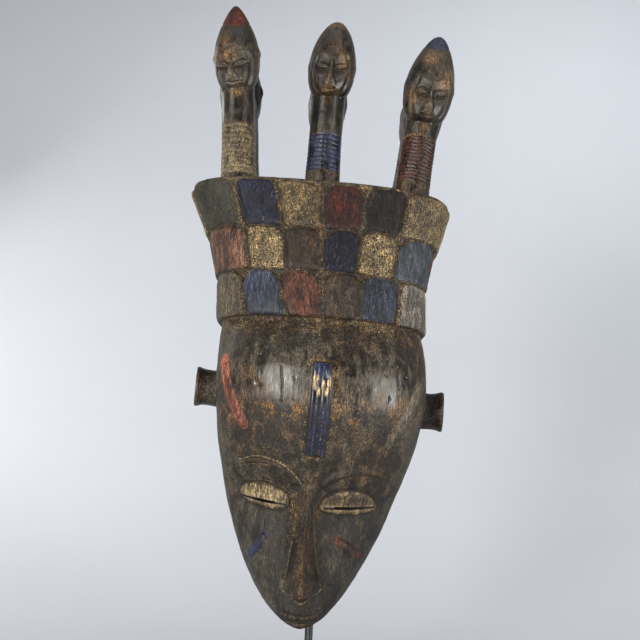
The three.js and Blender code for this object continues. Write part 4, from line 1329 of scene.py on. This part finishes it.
def paint_crest(item, crest, look):
    coat = Coat(item, CREST_CAVITY_ROUNDS)
    coat.dust += 0.1
    coat.gloss += 0.75
    low, high = crest["band"]
    for facing, strength in ((-1, 1.0), (1, 0.6)):
        mine, height, turn, s, across, _, face_turn, rim = head_view(coat.points, crest, facing)
        far = np.where(mine, 0, ELSEWHERE)
        band = np.minimum(height - low, high - height)
        coat.patch(band + far, look["band"], look["finish"], look["cover"] * strength)
        if look["cap"]:
            edge = (s - crest["cap"] + crest["cap_dip"] * np.cos(turn)) * crest["head"]
            coat.patch(edge + far, look["cap"], 0.1, strength)
            coat.gloss = np.where(mine & (edge > 0), 0.1, coat.gloss)
        collar_turn, collar_half = look["collar"]
        stains = [0.85 * spot(turn, height, collar_turn, crest["chin"] - 4, 0.8, collar_half)]
        for patch_turn, patch_s, wide, tall, amount in look["patches"]:
            stains.append(amount * spot(turn, s, patch_turn, patch_s, wide, tall))
        coat.lift("stain", np.maximum.reduce(stains) * strength, mine)

        # Painted shade in the sockets and the rim groove of the carved face, and pale flecks on its raised
        # features as a painted highlight
        on_face = smooth(np.cos(face_turn), 0.2, 0.6) * smooth(s, -0.02, 0.03)
        on_face *= smooth(-s, -1.15 * crest["brow"], -crest["brow"])
        form = head_form(crest, across, face_turn, s)
        rim_shade = bump((rim - 1.03) / 0.09) * (np.cos(face_turn) > 0)
        rim_shade *= 1 - 0.5 * smooth(s, 0.75 * crest["brow"], crest["brow"])
        coat.lift("soot", np.maximum(0.85 * smooth(-form, -0.4, 1) * on_face, rim_shade), mine)
        coat.lift("dust", 0.5 * on_face * smooth(form, 0.2, 2), mine)
        coat.gloss = np.where(mine, coat.gloss - 0.1 * on_face, coat.gloss)
        neck = 0.9 * smooth(height, high + 1, high + 3) * smooth(-s, -0.08, 0)
        coat.lift("calm", np.maximum(neck, 0.35 * (s > 0)), mine)
        coat.lift("gloss", neck, mine)
        coat.lift("soot", np.maximum(0.85 * neck, 0.5 * (s > 0)), mine)
        coat.lift("stain", 0.7 * bump((height - high - 0.6) / 0.7), mine)
    coat.write()


# Materials

class Shader:
    """Builds one node material."""

    def __init__(self, name):
        self.material = bpy.data.materials.new(name)
        self.material.use_nodes = True
        self.tree = self.material.node_tree
        self.tree.nodes.clear()
        self.place = self.node("ShaderNodeTexCoord").outputs["Object"]

    def node(self, kind, inputs=None, **settings):
        node = self.tree.nodes.new(kind)
        for key, value in settings.items():
            setattr(node, key, value)
        for key, value in (inputs or {}).items():
            if isinstance(value, bpy.types.NodeSocket):
                self.tree.links.new(value, node.inputs[key])
            else:
                node.inputs[key].default_value = value
        return node

    def math(self, operation, a, b=0.0, c=0.0, clamp=False):
        settings = {"operation": operation, "use_clamp": clamp}
        return self.node("ShaderNodeMath", {0: a, 1: b, 2: c}, **settings).outputs[0]

    def linear(self, a, b, c, clamp=False):
        """a times b, plus c."""
        return self.math("MULTIPLY_ADD", a, b, c, clamp)

    def times(self, *values):
        result = values[0]
        for value in values[1:]:
            result = self.math("MULTIPLY", result, value)
        return result

    def mix(self, share, a, b, blend="MIX"):
        """A mix of two colours, each a socket or three linear values."""
        inputs = {0: share}
        for key, value in ((6, a), (7, b)):
            inputs[key] = value if isinstance(value, bpy.types.NodeSocket) else (*value, 1)
        settings = {"data_type": "RGBA", "blend_type": blend, "clamp_factor": True}
        return self.node("ShaderNodeMix", inputs, **settings).outputs[2]

    def scale(self, share, low, high):
        """A mix of two colours given as in a picture."""
        return self.mix(share, srgb(*low), srgb(*high))

    def over(self, base, *layers):
        """The base under layers: each is a socket or a colour as in a picture, then its shares."""
        for layer, *shares in layers:
            if not isinstance(layer, bpy.types.NodeSocket):
                layer = srgb(*layer)
            base = self.mix(self.times(*shares), base, layer)
        return base

    def noise(self, size, detail=2.0, rough=0.5, shift=0.0):
        """Noise from 0 to 1 with lumps of the given size in mm, one number for each axis."""
        scale = tuple(1 / MM / side for side in size)
        vectors = {0: self.place, 1: scale, 2: (shift, shift, shift)}
        place = self.node("ShaderNodeVectorMath", vectors, operation="MULTIPLY_ADD").outputs[0]
        inputs = {"Vector": place, "Scale": 1.0, "Detail": detail, "Roughness": rough}
        return self.node("ShaderNodeTexNoise", inputs, noise_dimensions="3D").outputs[0]

    def step(self, value, low, high, bottom=0.0, top=1.0):
        inputs = {"Value": value, "From Min": low, "From Max": high, "To Min": bottom, "To Max": top}
        return self.node("ShaderNodeMapRange", inputs, interpolation_type="SMOOTHSTEP").outputs[0]

    def attribute(self, name):
        """A colour attribute, then its red, green, blue and alpha."""
        node = self.node("ShaderNodeAttribute", attribute_name=name)
        parts = self.node("ShaderNodeSeparateColor", {0: node.outputs["Color"]})
        return [node.outputs["Color"], *parts.outputs, node.outputs["Alpha"]]

    def finish(self, colour, rough, height, distance, **fixed):
        bump_node = self.node("ShaderNodeBump", {"Height": height, "Strength": 1.0, "Distance": distance})
        inputs = {"Base Color": colour, "Roughness": rough, "Normal": bump_node.outputs[0], **fixed}
        principled = self.node("ShaderNodeBsdfPrincipled", inputs)
        output = self.node("ShaderNodeOutputMaterial")
        self.tree.links.new(principled.outputs[0], output.inputs[0])
        return self.material


def wood_material():
    s = Shader("painted_carved_wood")
    paint, _, _, _, cover = s.attribute("paint")
    _, inside_code, line_code, dust, belt = s.attribute("masks")
    _, cavity_code, inner, crack_and_slit_shade_code, finish = s.attribute("forms")
    _, stain, soot, gloss, worn = s.attribute("tints")
    calm = s.node("ShaderNodeAttribute", attribute_name="calm").outputs["Fac"]
    lively = s.linear(calm, -0.7, 1.0)
    inside = s.linear(inside_code, INSIDE_SPAN, -INSIDE_SPAN / 2)
    line = s.times(line_code, LINE_SPAN)
    crack = s.times(crack_and_slit_shade_code, LINE_SPAN)
    cavity = s.linear(cavity_code, CAVITY_SPAN, -CAVITY_SPAN / 2)

    broad = s.noise((42, 42, 64), 3, 0.55, 1.7)
    blotch = s.noise((8, 8, 13), 4, 0.62, 9.9)
    streak = s.noise((2.2, 2.2, 18), 5, 0.66, 3.1)
    fibre = s.noise((0.7, 0.7, 4.5), 4, 0.65, 7.7)
    scratch = s.noise((0.5, 0.5, 9), 3, 0.55, 13.1)
    grit = s.noise((0.8, 0.8, 1.2), 4, 0.7, 5.5)
    net = s.noise((1.1, 1.1, 1.3), 4, 0.68, 11.3)

    # Worn, smoke-darkened wood, with painted shade and painted highlights laid into it
    smoke = s.scale(s.step(s.linear(broad, 0.7, blotch), 0.68, 0.96), (32, 27, 21), (60, 55, 46))
    gold = s.scale(s.step(grit, 0.36, 0.66), (64, 44, 24), (116, 86, 48))
    broken = s.step(s.linear(fibre, 0.6, grit), 0.62, 0.9)
    # Pale flecks of dust, laid thicker on the raised features of the crest heads as a painted highlight
    pale_flecks_and_highlight = s.times(s.step(s.linear(dust, 0.2, grit), 0.6, 0.7), s.linear(dust, 0.6, 0.22), lively)
    raw = s.scale(s.step(fibre, 0.3, 0.7), (48, 37, 27), (92, 73, 53))
    patina = s.over(
        s.scale(s.step(streak, 0.36, 0.66), (16, 13, 9), (55, 46, 35)),
        ((84, 64, 44), s.step(blotch, 0.5, 0.66), 0.35),
        ((60, 56, 49), s.step(broad, 0.48, 0.62), 0.5),
        ((62, 42, 31), s.step(broad, 0.47, 0.36), 0.4),
        (smoke, calm, 0.75),
        ((108, 88, 60), s.step(fibre, 0.6, 0.72), lively, 0.5),
        ((124, 106, 78), s.step(scratch, 0.6, 0.68), lively, 0.4),
        ((13, 10, 8), s.step(fibre, 0.44, 0.32), 0.6),
        (gold, belt, s.step(s.linear(grit, 0.3, blotch), 0.6, 0.78), 0.7),
        ((14, 10, 8), s.step(belt, 0.4, 0.9), s.step(s.linear(streak, 0.6, blotch), 0.78, 0.66), 0.85),
        # This layer darkens the wood where it is black or smoky, and also lays painted shade in grooves,
        # seams, sockets and on the lower face
        ((15, 12, 10), soot, s.step(streak, 0.66, 0.34, 0.5, 1.0), 0.9),
        (gold, stain, s.linear(broken, 0.8, 0.28, clamp=True)),
        (s.scale(s.step(fibre, 0.4, 0.62), (104, 84, 54), (158, 134, 94)), pale_flecks_and_highlight),
        (s.over(raw, ((40, 31, 24), s.step(blotch, 0.45, 0.65), 0.6)), inner),
    )

    # Paint, with ragged edges, scratches and rubbed places
    edge = s.math("ADD", inside, s.linear(net, 2.6, -1.3))
    thickness = s.math("ADD", cover, s.linear(fibre, 1.6, -0.8))
    scuff = s.step(s.linear(blotch, 0.6, fibre), 0.92, 1.08)
    painted = s.times(s.step(edge, -0.35, 0.5), s.step(thickness, 0.15, 0.42), s.linear(scuff, -0.6, 1.0))
    shade = s.scale(s.step(streak, 0.36, 0.66), (122, 120, 117), (255, 255, 255))
    plain = s.over(
        s.mix(1.0, paint, shade, "MULTIPLY"),
        ((122, 116, 106), s.step(scratch, 0.58, 0.7), 0.22),
        ((106, 101, 92), s.step(grit, 0.6, 0.72), 0.25),
        ((20, 16, 14), s.step(fibre, 0.42, 0.3), 0.6),
        (s.scale(s.step(fibre, 0.36, 0.6), (120, 92, 52), (196, 172, 122)), worn),
    )
    bright = s.mix(1.0, paint, (2.1, 2.05, 2.0), "MULTIPLY")
    light = s.mix(s.step(grit, 0.42, 0.66), paint, bright)
    speckle = s.mix(s.step(net, 0.42, 0.55), srgb(46, 35, 24), light)
    colour = s.mix(painted, patina, s.mix(finish, plain, speckle))
    fine = s.step(s.linear(grit, 0.8, fibre), 0.74, 1.06)
    colour = s.mix(1.0, colour, s.mix(fine, (0.3, 0.29, 0.28), (1.66, 1.66, 1.66)), "MULTIPLY")
    wide = s.step(s.linear(broad, 0.6, blotch), 0.68, 0.92)
    colour = s.mix(1.0, colour, s.mix(wide, (0.5, 0.5, 0.49), (1.28, 1.28, 1.28)), "MULTIPLY")

    # Grooves and hollows are darkened as painted shade, high edges are rubbed, cut lines hold pale dust, and
    # cracks and the slits' edges are near black, at the slits as painted shade
    colour = s.over(
        colour,
        ((18, 14, 11), s.step(cavity, 0.06, 0.4), 0.75),
        ((128, 104, 70), s.step(cavity, -0.12, -0.4), s.step(fibre, 0.42, 0.62), 0.35),
        ((158, 136, 98), s.step(line, 1.0, 0.35), s.step(grit, 0.46, 0.6), 0.8),
        ((8, 6, 5), s.step(crack, 0.75, 0.3)),
    )

    uneven = s.step(s.linear(streak, 0.6, blotch), 0.66, 0.94, -0.12, 0.26)
    rough = s.math("ADD", s.linear(gloss, -0.38, 0.7), s.times(uneven, lively))
    rough = s.linear(inner, 0.2, s.linear(pale_flecks_and_highlight, 0.2, rough), clamp=True)
    height = s.linear(streak, 0.8, s.linear(fibre, 0.7, s.times(grit, 0.5)))
    height = s.linear(s.times(painted, finish), s.times(net, 1.4), height)
    height = s.linear(painted, 0.25, s.times(height, lively))
    return s.finish(colour, rough, height, 0.00022, **{"Specular IOR Level": 0.35})


def steel_material():
    s = Shader("black_steel_paint")
    cloud = s.noise((14, 14, 26), 4, 0.6)
    grit = s.noise((0.7, 0.7, 0.9), 3, 0.6, 4.0)
    scratch = s.noise((0.5, 0.5, 30), 2, 0.5, 9.0)
    worn = ((96, 96, 94), s.step(scratch, 0.66, 0.74), 0.4)
    colour = s.over(s.scale(cloud, (16, 17, 18), (26, 27, 28)), worn)
    return s.finish(colour, s.step(cloud, 0.3, 0.7, 0.36, 0.5), grit, 0.00006, Metallic=0.0)


def floor_material():
    s = Shader("studio_paper")
    cloud = s.noise((300, 300, 300), 3, 0.5)
    return s.finish(s.scale(cloud, (230, 235, 242), (236, 240, 247)), 0.85, cloud, 0.0001)


# Camera and studio, in metres; the camera stands where the photograph was taken from

SENSOR = 36.0
LENS = 38.925
CAMERA_PLACE = (0.0, -0.532, 0.1934)
PITCH = math.radians(11.0)
ROLL = math.radians(2.8)

# The floor, which curves up into the backdrop
FLOOR_FRONT = -0.9
FLOOR_HALF = 4.0
SWEEP_START = 0.15
SWEEP = 1.6
SWEEP_STEPS = 32
BACKDROP_TOP = 4.0

# Area lights: name, place, aim, size, watts, colour, spread in degrees
LIGHTS = [
    ("key", (-0.8, -1.25, 0.16), (0, -0.05, 0.25), (0.44, 0.4), 27, (1.0, 0.97, 0.92), 180),
    ("fill", (1.2, -0.76, 0.24), (0, -0.05, 0.26), (0.37, 0.37), 16, (1.0, 0.97, 0.93), 180),
    ("top", (0, -0.5, 1.7), (0, 0, 0.35), (1.2, 0.8), 2.5, (1.0, 0.98, 0.95), 180),
    ("crest_left", (-0.8, -0.92, 1.03), (0, 0, 0.58), (0.3, 0.3), 0.17, (1.0, 0.98, 0.94), 30),
    ("crest_right", (0.85, -0.85, 1.0), (0, 0, 0.58), (0.3, 0.3), 0.13, (1.0, 0.98, 0.94), 30),
    ("backdrop", (-1.2, 0.35, 0.55), (-0.8, 1.3, -0.1), (0.9, 0.9), 2.6, (0.98, 1.0, 1.0), 180),
    ("back", (-1.45, 0.95, 1.2), (0, 0.02, 0.3), (0.7, 0.7), 5.5, (1.0, 0.98, 0.95), 180),
    ("backdrop_right", (1.1, 0.6, 1.6), (0.9, 1.75, 1.5), (0.8, 0.8), 5, (0.97, 0.98, 1.0), 180),
]
SKY = (0.9, 0.92, 0.95, 1)
SKY_STRENGTH = 0.205


def add_camera():
    forward = Vector((0, math.cos(PITCH), math.sin(PITCH)))
    right = Vector((1, 0, 0))
    up = right.cross(forward)
    across = right * math.cos(ROLL) + up * math.sin(ROLL)
    upward = up * math.cos(ROLL) - right * math.sin(ROLL)
    data = bpy.data.cameras.new("camera")
    data.sensor_width = SENSOR
    data.lens = LENS
    data.clip_start = 0.01
    data.clip_end = 20
    camera = bpy.data.objects.new("camera", data)
    rows = [[across[i], upward[i], -forward[i], CAMERA_PLACE[i]] for i in range(3)]
    camera.matrix_world = Matrix(rows + [[0, 0, 0, 1]])
    bpy.context.scene.collection.objects.link(camera)
    bpy.context.scene.camera = camera


def add_light(name, place, aim, size, power, colour, spread):
    data = bpy.data.lights.new(name, "AREA")
    data.spread = math.radians(spread)
    data.shape = "ELLIPSE"
    data.size, data.size_y = size
    data.energy = power
    data.color = colour
    light = bpy.data.objects.new(name, data)
    light.location = place
    light.rotation_euler = (Vector(aim) - Vector(place)).to_track_quat("-Z", "Y").to_euler()
    bpy.context.scene.collection.objects.link(light)


def add_studio():
    """A pale floor that curves up into the backdrop, and soft lights."""
    profile = [(FLOOR_FRONT, 0.0), (SWEEP_START, 0.0)]
    for i in range(1, SWEEP_STEPS + 1):
        turn = QUARTER * i / SWEEP_STEPS
        profile.append((SWEEP_START + SWEEP * math.sin(turn), SWEEP * (1 - math.cos(turn))))
    profile.append((SWEEP_START + SWEEP, BACKDROP_TOP))
    grid = np.array([[[x, y, z] for x in (-FLOOR_HALF, 0.0, FLOOR_HALF)] for y, z in profile]) / MM
    faces = quads(len(profile), 3, False)
    floor = object_of("studio_floor", mesh_of("studio_floor", grid.reshape(-1, 3), faces))
    shaded_smooth(floor.data)
    with_material(floor, floor_material())
    for light in LIGHTS:
        add_light(*light)
    world = bpy.data.worlds.new("studio")
    world.use_nodes = True
    background = world.node_tree.nodes["Background"]
    background.inputs[0].default_value = SKY
    background.inputs[1].default_value = SKY_STRENGTH
    bpy.context.scene.world = world
    bpy.context.scene.view_settings.view_transform = "Standard"


add_camera()
add_studio()

face = carved_face()
paint_face(face)
headdress = carved_headdress()
paint_headdress(headdress)
pieces = [face, headdress]
for crest, look in zip(CRESTS, CREST_LOOKS):
    piece = carved_crest(crest)
    paint_crest(piece, crest, look)
    pieces.append(piece)

wood = wood_material()
for piece in pieces:
    with_material(piece, wood)
    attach(piece, "root")
    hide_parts("mask")

steel = steel_material()
for name in ("stand_rod", "stand_foot"):
    with_material(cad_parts[name], steel)
